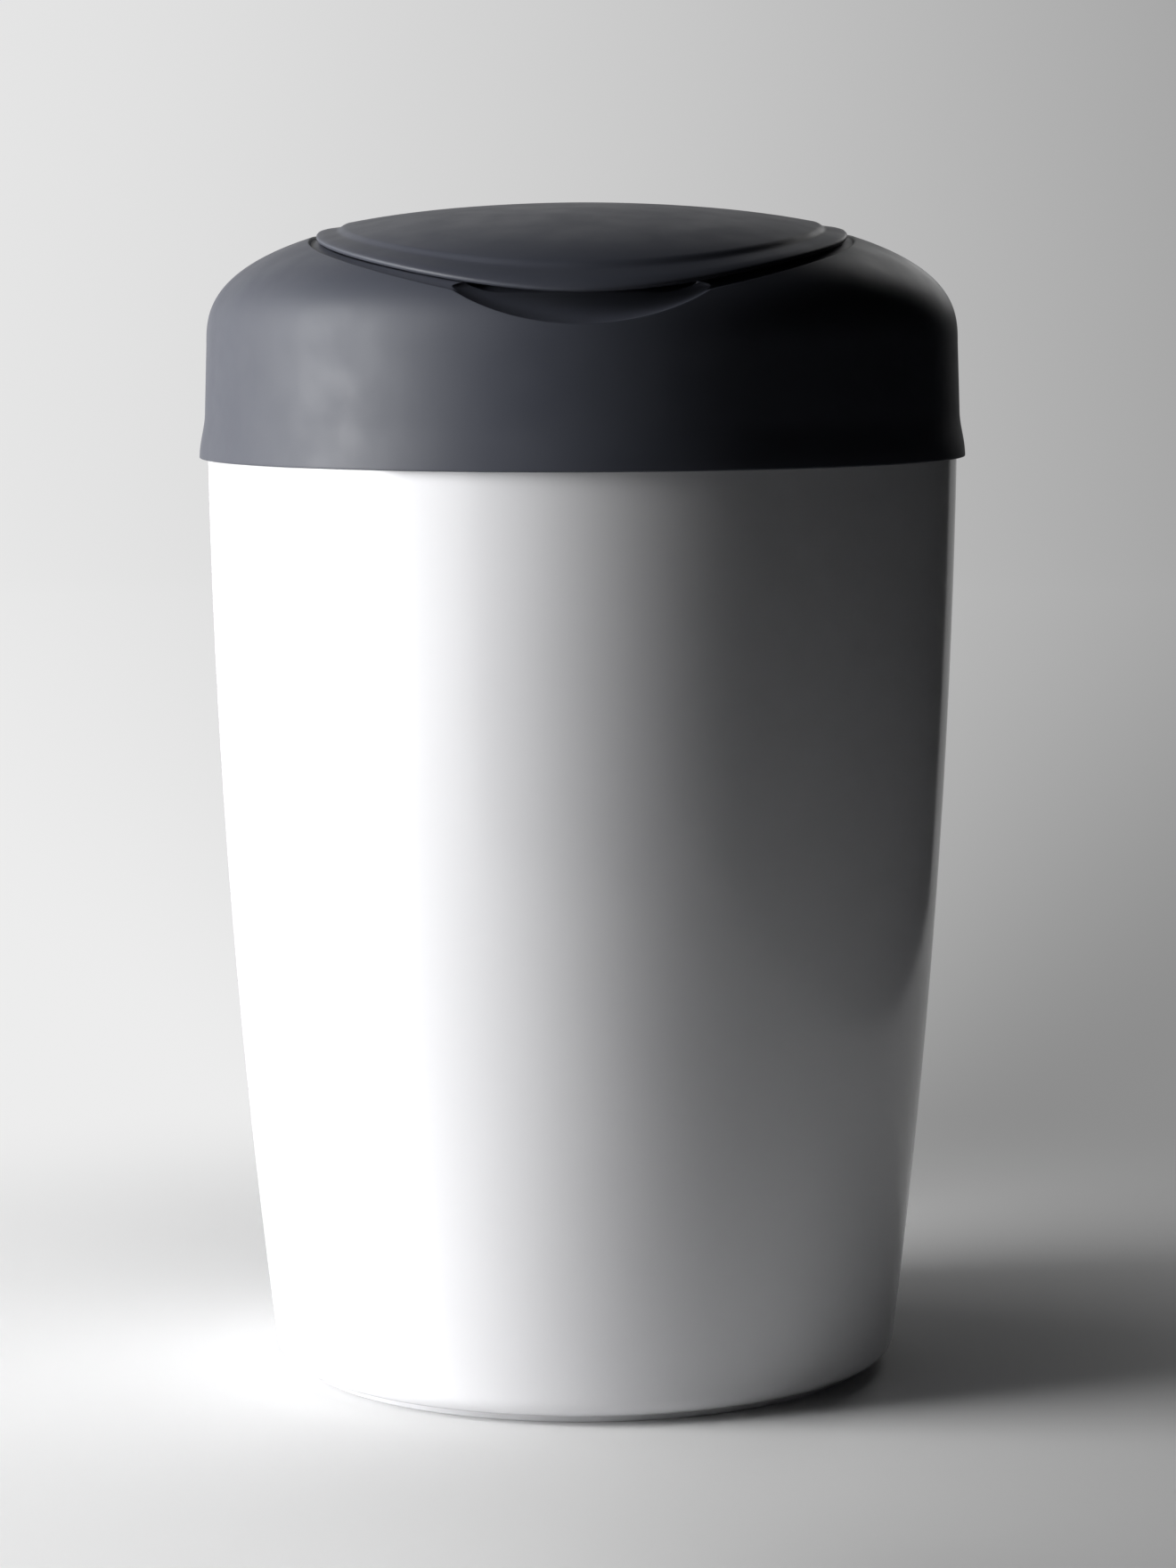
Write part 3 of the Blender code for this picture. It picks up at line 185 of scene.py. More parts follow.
# Carrier and cassette
CARRIER_CLEARANCE = 0.0010
CARRIER_WALL = 0.0022
CARRIER_FLOOR = 0.0024
CARRIER_HUB_PLAY = 0.0008
FLANGE_WALL = 0.0025
FLANGE_REACH = 0.0032
TEETH = 18
TOOTH_STEPS = 10
TOOTH_HEIGHT = 0.0016
CASSETTE_PLAY = 0.0005
CASSETTE_WALL = 0.0016
CASSETTE_HEIGHT = 0.058
CASSETTE_TROUGH_WIDTH = 0.0253
CASSETTE_HUB_STEP = 0.0022
CASSETTE_LIP_RISE = 0.0045
CAP_WALL = 0.0018
CAP_HEM = 0.004
FILM_SLOT = 0.0036
GRIPS = 8
GRIP_HEIGHT = 0.012
GRIP_WIDTH = 0.016
GRIP_DEPTH = 0.0055
GRIP_EDGE = 0.0012
GRIP_BOW_STEPS = 24
GRIP_TURNS = (0, 30, 60, 90)
FILM_FOLDS = 17
FILM_FOLD_DEPTH = 0.0016
FILM_FOLD_STEPS = 3
FILM_CREASES = 36
FILM_CREASE_DEPTH = 0.0004
FILM_DRIFT_WAVES = 3
FILM_DRIFT = 40
FILM_HEIGHT = 0.046
FILM_PLAY = 0.0010

# Gripper, clamp and screws
FINGERS = 10
FINGER_SPREAD = 0.86
FINGER_REACH = 0.032
FINGER_DROP = 0.021
FINGER_WALL = 0.0016
FINGER_STATIONS = 14
FINGER_SWEEP_STEPS = 6
FINGER_TIP_SHARE = 0.22
FINGER_END_SHARE = 0.05
GRIPPER_WIDTH = 0.011
GRIPPER_WALL = 0.0022
CLAMP_WALL = 0.0030
CLAMP_STEP = 0.0025
CLAMP_WIDTH = 0.0105
SCREW_RADIUS = 0.0016
SCREW_HEAD_RADIUS = 0.0034
SCREW_HEAD_HEIGHT = 0.0024
SCREW_CROWN_SHARE = 0.7
SCREW_CROWN_TURNS = (20, 40, 60, 80)
SCREW_TIP_SHARE = 1 / 3
SCREW_HOLE_PLAY = 0.0004
CROSS_LENGTH = 0.0038
CROSS_WIDTH = 0.0008
CROSS_DEPTH = 0.0015
BOSS_RADIUS = 0.0046
BOSS_BORE_DEPTH = 0.015

# Values that follow from the sizes above
SPIGOT_RADIUS = TUB_TOP_RADIUS - SPIGOT_INSET
SPIGOT_INNER_RADIUS = SPIGOT_RADIUS - TUB_WALL
TUB_RIM_Z = TUB_SHOULDER_Z + SHOULDER_HEIGHT + SPIGOT_HEIGHT
SKIRT_Z = TUB_SHOULDER_Z - SKIRT_OVERLAP
FLARE_RADIUS = TUB_TOP_RADIUS + SKIRT_CLEARANCE + COVER_WALL
SKIRT_RADIUS = FLARE_RADIUS - FLARE
DOME_RADIUS = SKIRT_RADIUS - SKIRT_TAPER
DOME_Z = SKIRT_Z + SKIRT_HEIGHT
COLLAR_INSET = SEAL_INSET + SEAL_WIDTH
HINGE_Y = LID_CENTRE_Y + LID_REAR_DEPTH - HINGE_RADIUS
SPIGOT_GAP = GAP + RIM_SEAL_HEIGHT + GAP
DECK_Z = TUB_RIM_Z + SPIGOT_GAP
DECK_TOP_Z = DECK_Z + DECK_WALL
DECK_RADIUS = DOME_RADIUS - COVER_WALL - DECK_EDGE_CLEARANCE + SKIRT_TAPER / 2
LOCATOR_RADIUS = SPIGOT_INNER_RADIUS - LOCATOR_CLEARANCE
LOCATOR_INNER_RADIUS = LOCATOR_RADIUS - LOCATOR_WALL
WELL_OUTER_RADIUS = WELL_RADIUS + WELL_WALL
WELL_FLOOR_Z = DECK_Z - WELL_DEPTH
WELL_RIM_Z = DECK_TOP_Z + WELL_RIM_RISE
TURN_CENTRE = Vector((0, WELL_OUTER_RADIUS + WELL_FRONT_MARGIN - LOCATOR_INNER_RADIUS))
CARRIER_Z = WELL_FLOOR_Z + DECK_WALL + GAP
CARRIER_RADIUS = WELL_RADIUS - CARRIER_CLEARANCE
CARRIER_INNER_RADIUS = CARRIER_RADIUS - CARRIER_WALL
FLANGE_Z = WELL_RIM_Z + GAP
FLANGE_TOP_Z = FLANGE_Z + FLANGE_WALL
FLANGE_RADIUS = WELL_RADIUS + FLANGE_REACH
COLLAR_Z = FLANGE_TOP_Z + COLLAR_PLAY
CASSETTE_Z = CARRIER_Z + CARRIER_FLOOR + GAP
CASSETTE_RADIUS = CARRIER_INNER_RADIUS - CASSETTE_PLAY
CASSETTE_TOP_Z = CASSETTE_Z + CASSETTE_HEIGHT
CASSETTE_HUB_RADIUS = CASSETTE_RADIUS - CASSETTE_TROUGH_WIDTH
CARRIER_HUB_RADIUS = CASSETTE_HUB_RADIUS - CASSETTE_HUB_STEP
THROAT_RADIUS = CARRIER_HUB_RADIUS - CARRIER_HUB_PLAY - BEARING_WALL
GRIPPER_Z = WELL_FLOOR_Z - GAP - GRIPPER_WALL
CLAMP_Z = GRIPPER_Z - GAP - CLAMP_WALL
SCREW_BORE = SCREW_RADIUS + SCREW_HOLE_PLAY
DECK_SCREWS = [f"deck_screw_{number}" for number in range(1, 5)]
CLAMP_SCREWS = [f"clamp_screw_{number}" for number in range(1, 6)]
TOP_SCREWS = ["spring_screw", "cutter_screw_1", "cutter_screw_2"]


def dome_share(radius):
    return max(1 - (radius / DOME_RADIUS) ** 2, 0)


def dome_height(radius):
    return DOME_Z + DOME_RISE * dome_share(radius) ** DOME_POWER


def dome_normal(plan):
    """The direction square to the dome above a plan point."""
    share = dome_share(plan.length)
    if plan.length == 0:
        return Vector((0, 0, 1))
    outward = plan.normalized()
    if share == 0:
        return Vector((outward.x, outward.y, 0))
    fall = DOME_RISE * DOME_POWER * 2 * plan.length / DOME_RADIUS**2
    fall *= share ** (DOME_POWER - 1)
    return Vector((fall * outward.x, fall * outward.y, 1)).normalized()


def on_dome(plan, lift):
    return Vector((plan.x, plan.y, dome_height(plan.length))) + dome_normal(plan) * lift


HINGE_Z = dome_height(HINGE_Y) + LID_BEAD_LIFT - HINGE_RADIUS - HINGE_SINK


def turns(sides, first=0.0):
    return [first + 2 * math.pi * step / sides for step in range(sides)]


def direction(angle):
    return Vector((math.cos(angle), math.sin(angle)))


def circle(radius, height, sides, centre=Vector((0, 0))):
    return [
        Vector((centre.x + radius * math.cos(angle), centre.y + radius * math.sin(angle), height))
        for angle in turns(sides)
    ]


def lid_plan(angle, inset):
    """A plan point of the lid's outline, drawn in by inset."""
    toward = direction(angle)
    depth, power = LID_REAR_DEPTH, REAR_POWER
    if toward.y < 0:
        depth, power = LID_FRONT_DEPTH, FRONT_POWER
    painted_falloff = abs(toward.x / (LID_HALF_WIDTH - inset)) ** power
    along = abs(toward.y / (depth - inset)) ** power
    return Vector((0, LID_CENTRE_Y)) + toward * (painted_falloff + along) ** (-1 / power)


def lid_ring(inset, lift):
    return [on_dome(lid_plan(angle, inset), lift) for angle in turns(FINE_SIDES)]


def flat_ring(points, height):
    return [Vector((point.x, point.y, height)) for point in points]


def softened(profile, radius, closed=True, steps=EDGE_STEPS):
    """The profile with each corner rounded, as far as its two sides allow."""
    points = [Vector(point) for point in profile]
    count = len(points)
    soft = []
    for index, point in enumerate(points):
        if not closed and index in (0, count - 1):
            soft.append(tuple(point))
            continue
        before = points[index - 1] - point
        after = points[(index + 1) % count] - point
        start = point + before.normalized() * min(radius, before.length * CORNER_SHARE)
        end = point + after.normalized() * min(radius, after.length * CORNER_SHARE)
        for step in range(steps + 1):
            share = step / steps
            soft.append(tuple(start.lerp(point, share).lerp(point.lerp(end, share), share)))
    return soft


def skin(rings, closed=False, capped=True):
    """One mesh over the rings, in order. A ring of one point is a pole, and an open end gets its cap."""
    mesh = bmesh.new()
    rows = [[mesh.verts.new(point) for point in ring] for ring in rings]
    pairs = list(zip(rows, rows[1:]))
    if closed:
        pairs.append((rows[-1], rows[0]))
    for low, high in pairs:
        for step in range(max(len(low), len(high))):
            corners = [
                low[step % len(low)],
                low[(step + 1) % len(low)],
                high[(step + 1) % len(high)],
                high[step % len(high)],
            ]
            mesh.faces.new(list(dict.fromkeys(corners)))
    if capped and not closed:
        for row in (rows[0], rows[-1]):
            if len(row) > 1:
                mesh.faces.new(row)
    bmesh.ops.recalc_face_normals(mesh, faces=mesh.faces)
    return mesh


def box_line(inner, outer, low, high):
    """The profile of a plain ring."""
    return [(inner, low), (outer, low), (outer, high), (inner, high)]


def revolve(profile, sides, centre=Vector((0, 0)), closed=True, capped=True):
    """A turned shape. The profile is (radius, height), and a radius of 0 makes a pole."""
    rings = []
    for radius, height in profile:
        if radius == 0:
            rings.append([Vector((centre.x, centre.y, height))])
        else:
            rings.append(circle(radius, height, sides, centre))
    return skin(rings, closed, capped)


def block(low, high):
    outline = [Vector(pair) for pair in ((low.x, low.y), (high.x, low.y), (high.x, high.y), (low.x, high.y))]
    return skin([flat_ring(outline, low.z), flat_ring(outline, high.z)])


def hinge_circle(x, radius):
    return [
        Vector((x, HINGE_Y + radius * math.cos(angle), HINGE_Z + radius * math.sin(angle)))
        for angle in turns(PIN_SIDES)
    ]


def both_sides(start, end):
    """The same stretch along X on either side, each from its lower end."""
    return [sorted((side * start, side * end)) for side in (-1, 1)]


def hinge_bar(radius, start, end):
    """A round bar on the hinge's axis."""
    return skin([hinge_circle(x, radius) for x in (start, end)])


def gathered(meshes):
    """Several separate solids in one mesh."""
    whole = bmesh.new()
    for part in meshes:
        scratch = bpy.data.meshes.new("scratch")
        part.to_mesh(scratch)
        whole.from_mesh(scratch)
        bpy.data.meshes.remove(scratch)
        part.free()
    return whole


def screw_centre(node):
    low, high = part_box(node)
    return Vector(((low.x + high.x) / 2, (low.y + high.y) / 2))


def posts(radius, low, high, nodes):
    """Upright pins on the axes of these screws, for bosses and bores."""
    line = [(radius, low), (radius, high)]
    return gathered([revolve(line, PIN_SIDES, screw_centre(node), closed=False) for node in nodes])


def turned(name, profile, edge):
    """A turned piece on the mechanism's axis, with its corners rounded."""
    return link(name, revolve(softened(profile, edge), INNER_SIDES, TURN_CENTRE))


def link(name, mesh):
    data = bpy.data.meshes.new(name)
    mesh.to_mesh(data)
    mesh.free()
    made = bpy.data.objects.new(name, data)
    bpy.context.scene.collection.objects.link(made)
    return made


def baked(target):
    """Swaps an object's mesh for what its modifiers make of it."""
    graph = bpy.context.evaluated_depsgraph_get()
    fresh = bpy.data.meshes.new_from_object(target.evaluated_get(graph))
    target.modifiers.clear()
    old = target.data
    target.data = fresh
    bpy.data.meshes.remove(old)


def discard(scratch):
    data = scratch.data
    bpy.data.objects.remove(scratch)
    bpy.data.meshes.remove(data)


def combine(target, mesh, operation):
    """One Boolean with a scratch solid, applied at once."""
    tool = link("scratch", mesh)
    change = target.modifiers.new("change", "BOOLEAN")
    change.operation = operation
    change.object = tool
    change.solver = "MANIFOLD"
    baked(target)
    discard(tool)


def drill(target, low, high, nodes):
    """Bores for these screws, right through a wall."""
    combine(target, posts(SCREW_BORE, low - OVERRUN, high + OVERRUN, nodes), "DIFFERENCE")


def dress(piece, finish, body, node, crease=CREASE_DEGREES):
    """Smooths a piece up to an angle, gives it its material, hides the node that it stands in for, and
    attaches it to the body that it moves with.
    """
    piece.data.shade_smooth()
    piece.data.set_sharp_from_angle(angle=math.radians(crease))
    piece.data.materials.clear()
    piece.data.materials.append(finish)
    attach(piece, body)
    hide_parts(node)


def tub_radius(height):
    low = FOOT_HEIGHT + TUB_FILLET
    share = (height - low) / (TUB_SHOULDER_Z - low)
    straight = TUB_FOOT_RADIUS + (TUB_TOP_RADIUS - TUB_FOOT_RADIUS) * share
    return straight + 4 * TUB_BULGE * share * (1 - share)


def wall_line(low, high, inward):
    """Points up the tub's wall, moved in by a wall."""
    heights = [low + (high - low) * step / WALL_STEPS for step in range(WALL_STEPS + 1)]
    return [(tub_radius(height) - inward, height) for height in heights]


def fillet(radius, height, size):
    """A quarter round from a flat bottom out to a wall."""
    arc = []
    for step in range(FILLET_STEPS):
        angle = math.pi / 2 * step / FILLET_STEPS
        arc.append((radius - size * (1 - math.sin(angle)), height - size * math.cos(angle)))
    return arc


def make_tub(finish):
    fillet_z = FOOT_HEIGHT + TUB_FILLET
    floor_z = BASE_RECESS + TUB_BASE_WALL
    foot = TUB_FOOT_RADIUS - TUB_FILLET - FOOT_INSET
    lowest = floor_z + TUB_FILLET
    inner_top = TUB_SHOULDER_Z + SHOULDER_HEIGHT - TUB_WALL / 2
    foot_line = [(0, BASE_RECESS), (foot - FOOT_WIDTH, BASE_RECESS), (foot - FOOT_WIDTH, 0), (foot, 0)]
    outside = softened(foot_line + [(foot, FOOT_HEIGHT)], TUB_EDGE, closed=False)
    outside += fillet(TUB_FOOT_RADIUS, fillet_z, TUB_FILLET)
    outside += wall_line(fillet_z, TUB_SHOULDER_Z - TUB_EDGE, 0)
    rim = [
        (TUB_TOP_RADIUS, TUB_SHOULDER_Z),
        (SPIGOT_RADIUS, TUB_SHOULDER_Z + SHOULDER_HEIGHT),
        (SPIGOT_RADIUS, TUB_RIM_Z),
        (SPIGOT_INNER_RADIUS, TUB_RIM_Z),
        (SPIGOT_INNER_RADIUS, inner_top),
    ]
    inside = wall_line(lowest, TUB_SHOULDER_Z - TUB_WALL / 2, TUB_WALL)[::-1]
    corner = fillet(tub_radius(lowest) - TUB_WALL, lowest, TUB_FILLET)[::-1]
    top = softened([outside[-1]] + rim + [inside[0]], TUB_EDGE, closed=False)[1:-1]
    profile = outside + top + inside + corner + [(0, floor_z)]
    tub = link("tub_skin", revolve(profile, FINE_SIDES, closed=False))
    dress(tub, finish, "tub", "tub_shell", crease=40)


def wall_rings(inward, edge=0.0):
    """Skirt and flare of the cover, from the foot of the dome down, moved in by a wall."""
    rings = []
    flare_top = SKIRT_Z + FLARE_HEIGHT
    for share in (0, 0.5):
        height = DOME_Z + (flare_top - DOME_Z) * share
        rings.append(circle(DOME_RADIUS + SKIRT_TAPER * share - inward, height, FINE_SIDES))
    for step in range(FLARE_STEPS + 1):
        share = step / FLARE_STEPS
        radius = SKIRT_RADIUS + FLARE * (1 - math.cos(math.pi * share)) / 2
        height = max(flare_top - FLARE_HEIGHT * share, SKIRT_Z + edge)
        rings.append(circle(radius - inward, height, FINE_SIDES))
    return rings


def skirt_edge():
    """The rounded lower edge of the skirt, from outside to inside."""
    outer, inner = FLARE_RADIUS, FLARE_RADIUS - COVER_WALL
    line = [(outer, SKIRT_Z + SKIRT_EDGE), (outer, SKIRT_Z), (inner, SKIRT_Z), (inner, SKIRT_Z + SKIRT_EDGE)]
    soft = softened(line, SKIRT_EDGE, closed=False)[1:-1]
    return [circle(radius, height, FINE_SIDES) for radius, height in soft]


def dome_rings(steps, lift, inset):
    """Lines on the dome from its foot to near the opening's edge, closer together where it is steep."""
    rings = []
    for step in range(1, steps + 1):
        share = (step / steps) ** 3
        rings.append([
            on_dome((direction(angle) * DOME_RADIUS).lerp(lid_plan(angle, inset), share), lift)
            for angle in turns(FINE_SIDES)
        ])
    return rings


def cover_body():
    edge_line = [
        (-RECESS_GAP - OPENING_EDGE, 0),
        (-RECESS_GAP, 0),
        (RECESS_STEP - RECESS_GAP, -RECESS_DEPTH),
        (LEDGE_INSET, -RECESS_DEPTH),
        (LEDGE_INSET + CHANNEL_STEP, -CHANNEL_DEPTH),
        (COLLAR_INSET, -CHANNEL_DEPTH),
    ]
    opening = [lid_ring(*pair) for pair in softened(edge_line, OPENING_EDGE, closed=False)[1:]]
    collar_inner = lid_ring(COLLAR_INSET, -CHANNEL_DEPTH)
    collar_outer = lid_ring(COLLAR_INSET - COLLAR_WALL, -CHANNEL_DEPTH)
    under_channel = [point - Vector((0, 0, COVER_WALL * COLLAR_FLOOR_SHARE)) for point in collar_outer]
    collar_edge = []
    for share, rise in COLLAR_EDGE_SHARES:
        ring = [inner.lerp(outer, share) for inner, outer in zip(collar_inner, collar_outer)]
        collar_edge.append(flat_ring(ring, COLLAR_Z + SKIRT_EDGE * rise))
    return skin(
        wall_rings(0, SKIRT_EDGE)[::-1]
        + dome_rings(DOME_STEPS, 0, -RECESS_GAP - OPENING_EDGE)
        + opening
        + collar_edge
        + [under_channel]
        + [lid_ring(0, -CHANNEL_DEPTH - COVER_WALL), lid_ring(-LEDGE_INSET, -RECESS_DEPTH - COVER_WALL)]
        + dome_rings(UNDER_STEPS, -COVER_WALL, -RECESS_GAP)[::-1]
        + wall_rings(COVER_WALL, SKIRT_EDGE)
        + skirt_edge()[::-1],
        closed=True,
    )


def cover_envelope():
    """The solid inside the middle of the cover's wall, which trims what is fused on from below."""
    half = COVER_WALL / 2
    collar = lid_ring(COLLAR_INSET - COLLAR_WALL / 2, -CHANNEL_DEPTH - half)
    return skin(
        [circle(DOME_RADIUS - half, DOME_Z, FINE_SIDES)]
        + dome_rings(ENVELOPE_STEPS, -half, -RECESS_GAP)
        + [lid_ring(0, -RECESS_DEPTH - half), lid_ring(LEDGE_INSET / 2, -CHANNEL_DEPTH - half)]
        + [collar, flat_ring(collar, DOME_Z)],
        closed=True,
    )


def scoop(grown):
    """The hollow for the fingers: a bent bowl that fades out sideways. Grown by a wall, it is its bowl."""
    middle_z = DOME_Z + DOME_RISE - SCOOP_LIP_DROP
    half_angle = math.asin(SCOOP_HALF_WIDTH / (SCOOP_RADIUS - SCOOP_TUCK))
    half_angle *= 1 + grown / SCOOP_HALF_WIDTH
    rings = []
    for station in range(SCOOP_STATIONS + 1):
        side = -math.cos(math.pi * station / SCOOP_STATIONS)
        toward = direction(side * half_angle - math.pi / 2)
        radius = SCOOP_RADIUS - SCOOP_TUCK * side**2
        if station in (0, SCOOP_STATIONS):
            rings.append([Vector((toward.x * radius, toward.y * radius, middle_z))])
            continue
        reach = (SCOOP_REACH + grown) * math.sqrt(1 - side**2)
        drop = (SCOOP_DROP + grown) * (1 - side**2)
        rings.append([
            Vector((
                toward.x * (radius + reach * math.cos(angle)),
                toward.y * (radius + reach * math.cos(angle)),
                middle_z + drop * math.sin(angle),
            ))
            for angle in turns(SCOOP_SIDES)
        ])
    return skin(rings)


def intersected(mesh, envelope):
    """A scratch solid trimmed by the cover's envelope."""
    scratch = link("trimmed", mesh)
    combine(scratch, envelope, "INTERSECT")
    trimmed = bmesh.new()
    trimmed.from_mesh(scratch.data)
    discard(scratch)
    return trimmed


def true_normals(target):
    """Gives corners that lie on the dome the dome's own normal, so that the cuts don't dent its shine."""
    mesh = target.data
    normals = [Vector(corner.vector) for corner in mesh.corner_normals]
    for face in mesh.polygons:
        for index in face.loop_indices:
            point = mesh.vertices[mesh.loops[index].vertex_index].co
            plan = Vector((point.x, point.y))
            if plan.length >= DOME_RADIUS or abs(point.z - dome_height(plan.length)) > ON_DOME:
                continue
            square = dome_normal(plan)
            if square.dot(face.normal) > SQUARE_ENOUGH:
                normals[index] = square
    mesh.normals_split_custom_set(normals)


def make_cover(finish):
    cover = link("cover_skin", cover_body())
    combine(cover, intersected(scoop(SCOOP_WALL), cover_envelope()), "UNION")
    combine(cover, scoop(0), "DIFFERENCE")
    trough_radius = HINGE_RADIUS + TROUGH_CLEARANCE
    wall_half = TROUGH_HALF_LENGTH + COVER_WALL
    trough_wall = hinge_bar(trough_radius + COVER_WALL, -wall_half, wall_half)
    combine(cover, intersected(trough_wall, cover_envelope()), "UNION")
    combine(cover, hinge_bar(trough_radius, -TROUGH_HALF_LENGTH, TROUGH_HALF_LENGTH), "DIFFERENCE")
    ear_start = KNUCKLE_HALF_WIDTH + HINGE_SIDE_PLAY
    ear_end = ear_start + EAR_WIDTH
    foot_z = HINGE_Z - trough_radius - COVER_WALL / 2
    for ends in both_sides(ear_start, ear_end):
        low = Vector((ends[0], HINGE_Y - EAR_WEB_HALF, foot_z))
        combine(cover, block(low, Vector((ends[1], HINGE_Y + EAR_WEB_HALF, HINGE_Z))), "UNION")
        combine(cover, hinge_bar(HINGE_RADIUS, *ends), "UNION")
    reach = ear_end + OVERRUN
    combine(cover, hinge_bar(ROD_RADIUS + ROD_PLAY, -reach, reach), "DIFFERENCE")
    low = DECK_TOP_Z + GAP
    for node in DECK_SCREWS:
        high = dome_height(screw_centre(node).length + BOSS_RADIUS) - COVER_WALL / 2
        combine(cover, posts(BOSS_RADIUS, low, high, [node]), "UNION")
    combine(cover, posts(SCREW_BORE, low - OVERRUN, low + BOSS_BORE_DEPTH, DECK_SCREWS), "DIFFERENCE")
    dress(cover, finish, "upper_unit", "top_cover", crease=32)
    true_normals(cover)


def crown_rings(lift, steps=CROWN_STEPS):
    """Over the crown to its middle, where the lift over the dome has faded out."""
    middle = Vector((0, LID_CENTRE_Y))
    rings = []
    for step in range(1, steps):
        share = 1 - step / steps
        height = lift + CROWN_LIFT * (share**2 - 1)
        rings.append([
            on_dome(middle + (lid_plan(angle, CROWN_INSET) - middle) * share, height)
            for angle in turns(FINE_SIDES)
        ])
    return rings + [[on_dome(middle, lift - CROWN_LIFT)]]


def make_lid(finish):
    under_line = [(CROWN_INSET, -LID_RIM_DROP), (0, -LID_RIM_DROP), (0, LID_BEAD_LIFT)]
    top_line = [
        (LID_BEAD_INSET, LID_BEAD_LIFT),
        (LID_BORDER_INSET, LID_BORDER_LIFT),
        (LID_BORDER_INSET + LID_BORDER_FLAT, LID_BORDER_LIFT),
        (CROWN_INSET, CROWN_LIFT),
        (CROWN_INSET + CROWN_EDGE, CROWN_LIFT),
    ]
    line = softened(under_line + top_line, LID_ROUND, closed=False)[:-1]
    rings = crown_rings(-LID_RIM_DROP)[::-1] + [lid_ring(*pair) for pair in line] + crown_rings(CROWN_LIFT)
    lid = link("lid_skin", skin(rings))
    half = KNUCKLE_HALF_WIDTH
    for ends in both_sides(half, half + HINGE_SIDE_PLAY * 2 + EAR_WIDTH):
        low = Vector((ends[0], HINGE_Y - HINGE_RADIUS - TROUGH_CLEARANCE, HINGE_Z - HINGE_RADIUS))
        high = Vector((ends[1], HINGE_Y + HINGE_RADIUS + OVERRUN, HINGE_Z + HINGE_RADIUS + OVERRUN))
        combine(lid, block(low, high), "DIFFERENCE")
    combine(lid, hinge_bar(HINGE_RADIUS, -half, half), "UNION")
    combine(lid, hinge_bar(ROD_RADIUS + ROD_PLAY, -half - OVERRUN, half + OVERRUN), "DIFFERENCE")
    dress(lid, finish, "lid", "lid_shell")


def make_liner(finish):
    top = -LID_RIM_DROP - GAP
    low = top - LINER_WALL
    rib_low = low - SEAL_RIB_HEIGHT
    outer_rib = SEAL_INSET - SEAL_SIDE_PLAY
    inner_rib = SEAL_INSET + SEAL_WIDTH + SEAL_SIDE_PLAY
    line = [
        (CROWN_INSET, top),
        (LINER_INSET, top),
        (LINER_INSET, low),
        (outer_rib - SEAL_RIB, low),
        (outer_rib - SEAL_RIB, rib_low),
        (outer_rib, rib_low),
        (outer_rib, low),
        (inner_rib, low),
        (inner_rib, rib_low),
        (inner_rib + SEAL_RIB, rib_low),
        (inner_rib + SEAL_RIB, low),
        (inner_rib + SEAL_RIB + CROWN_EDGE, low),
    ]
    rings = [lid_ring(*pair) for pair in softened(line, SEAL_RIB / 3, closed=False)]
    liner = link("liner_skin", skin(crown_rings(top)[::-1] + rings + crown_rings(low, UNDER_STEPS)[1:]))
    reach = KNUCKLE_HALF_WIDTH + HINGE_SIDE_PLAY * 2 + EAR_WIDTH + ROD_PLAY
    combine(liner, hinge_bar(HINGE_RADIUS + LINER_CLEARANCE, -reach, reach), "DIFFERENCE")
    dress(liner, finish, "lid", "lid_liner")


def make_lid_seal(finish):
    """The soft ring between the liner's ribs: a round bulb on a stem."""
    top = -LID_RIM_DROP - GAP - LINER_WALL - GAP
    low = GAP - CHANNEL_DEPTH
    middle = SEAL_INSET + SEAL_WIDTH / 2
    waist = (top + low) / 2
    line = [
        (SEAL_INSET, top),
        (SEAL_INSET, waist),
        (middle, low),
        (SEAL_INSET + SEAL_WIDTH, waist),
        (SEAL_INSET + SEAL_WIDTH, top),
    ]
    rings = [lid_ring(*pair) for pair in softened(line, SEAL_WIDTH / 3)]
    seal = link("lid_seal_skin", skin(rings, closed=True))
    dress(seal, finish, "lid", "lid_seal", crease=40)


def make_rod(finish):
    half = KNUCKLE_HALF_WIDTH + HINGE_SIDE_PLAY + EAR_WIDTH - ROD_END_INSET
    ends = [(-half, ROD_RADIUS - ROD_PLAY), (ROD_PLAY - half, ROD_RADIUS)]
    ends += [(-x, radius) for x, radius in ends[::-1]]
    rod = link("rod_skin", skin([hinge_circle(x, radius) for x, radius in ends]))
    dress(rod, finish, "upper_unit", "hinge_rod", crease=30)


def deck_rib(angle):
    """A gusset under the plate against the outside of the well."""
    toward = direction(angle)
    aside = Vector((-toward.y, toward.x)) * DECK_RIB_WALL / 2
    inner = WELL_RADIUS + WELL_WALL / 2
    outer = inner + DECK_RIB_REACH
    mid_z = DECK_Z + DECK_WALL / 2
    corners = [(inner, mid_z - DECK_RIB_HEIGHT), (inner, mid_z), (outer, mid_z)]
    ends = []
    for shift in (-aside, aside):
        ends.append([
            Vector((toward.x * reach + shift.x, TURN_CENTRE.y + toward.y * reach + shift.y, height))
            for reach, height in corners
        ])
    return skin(ends)


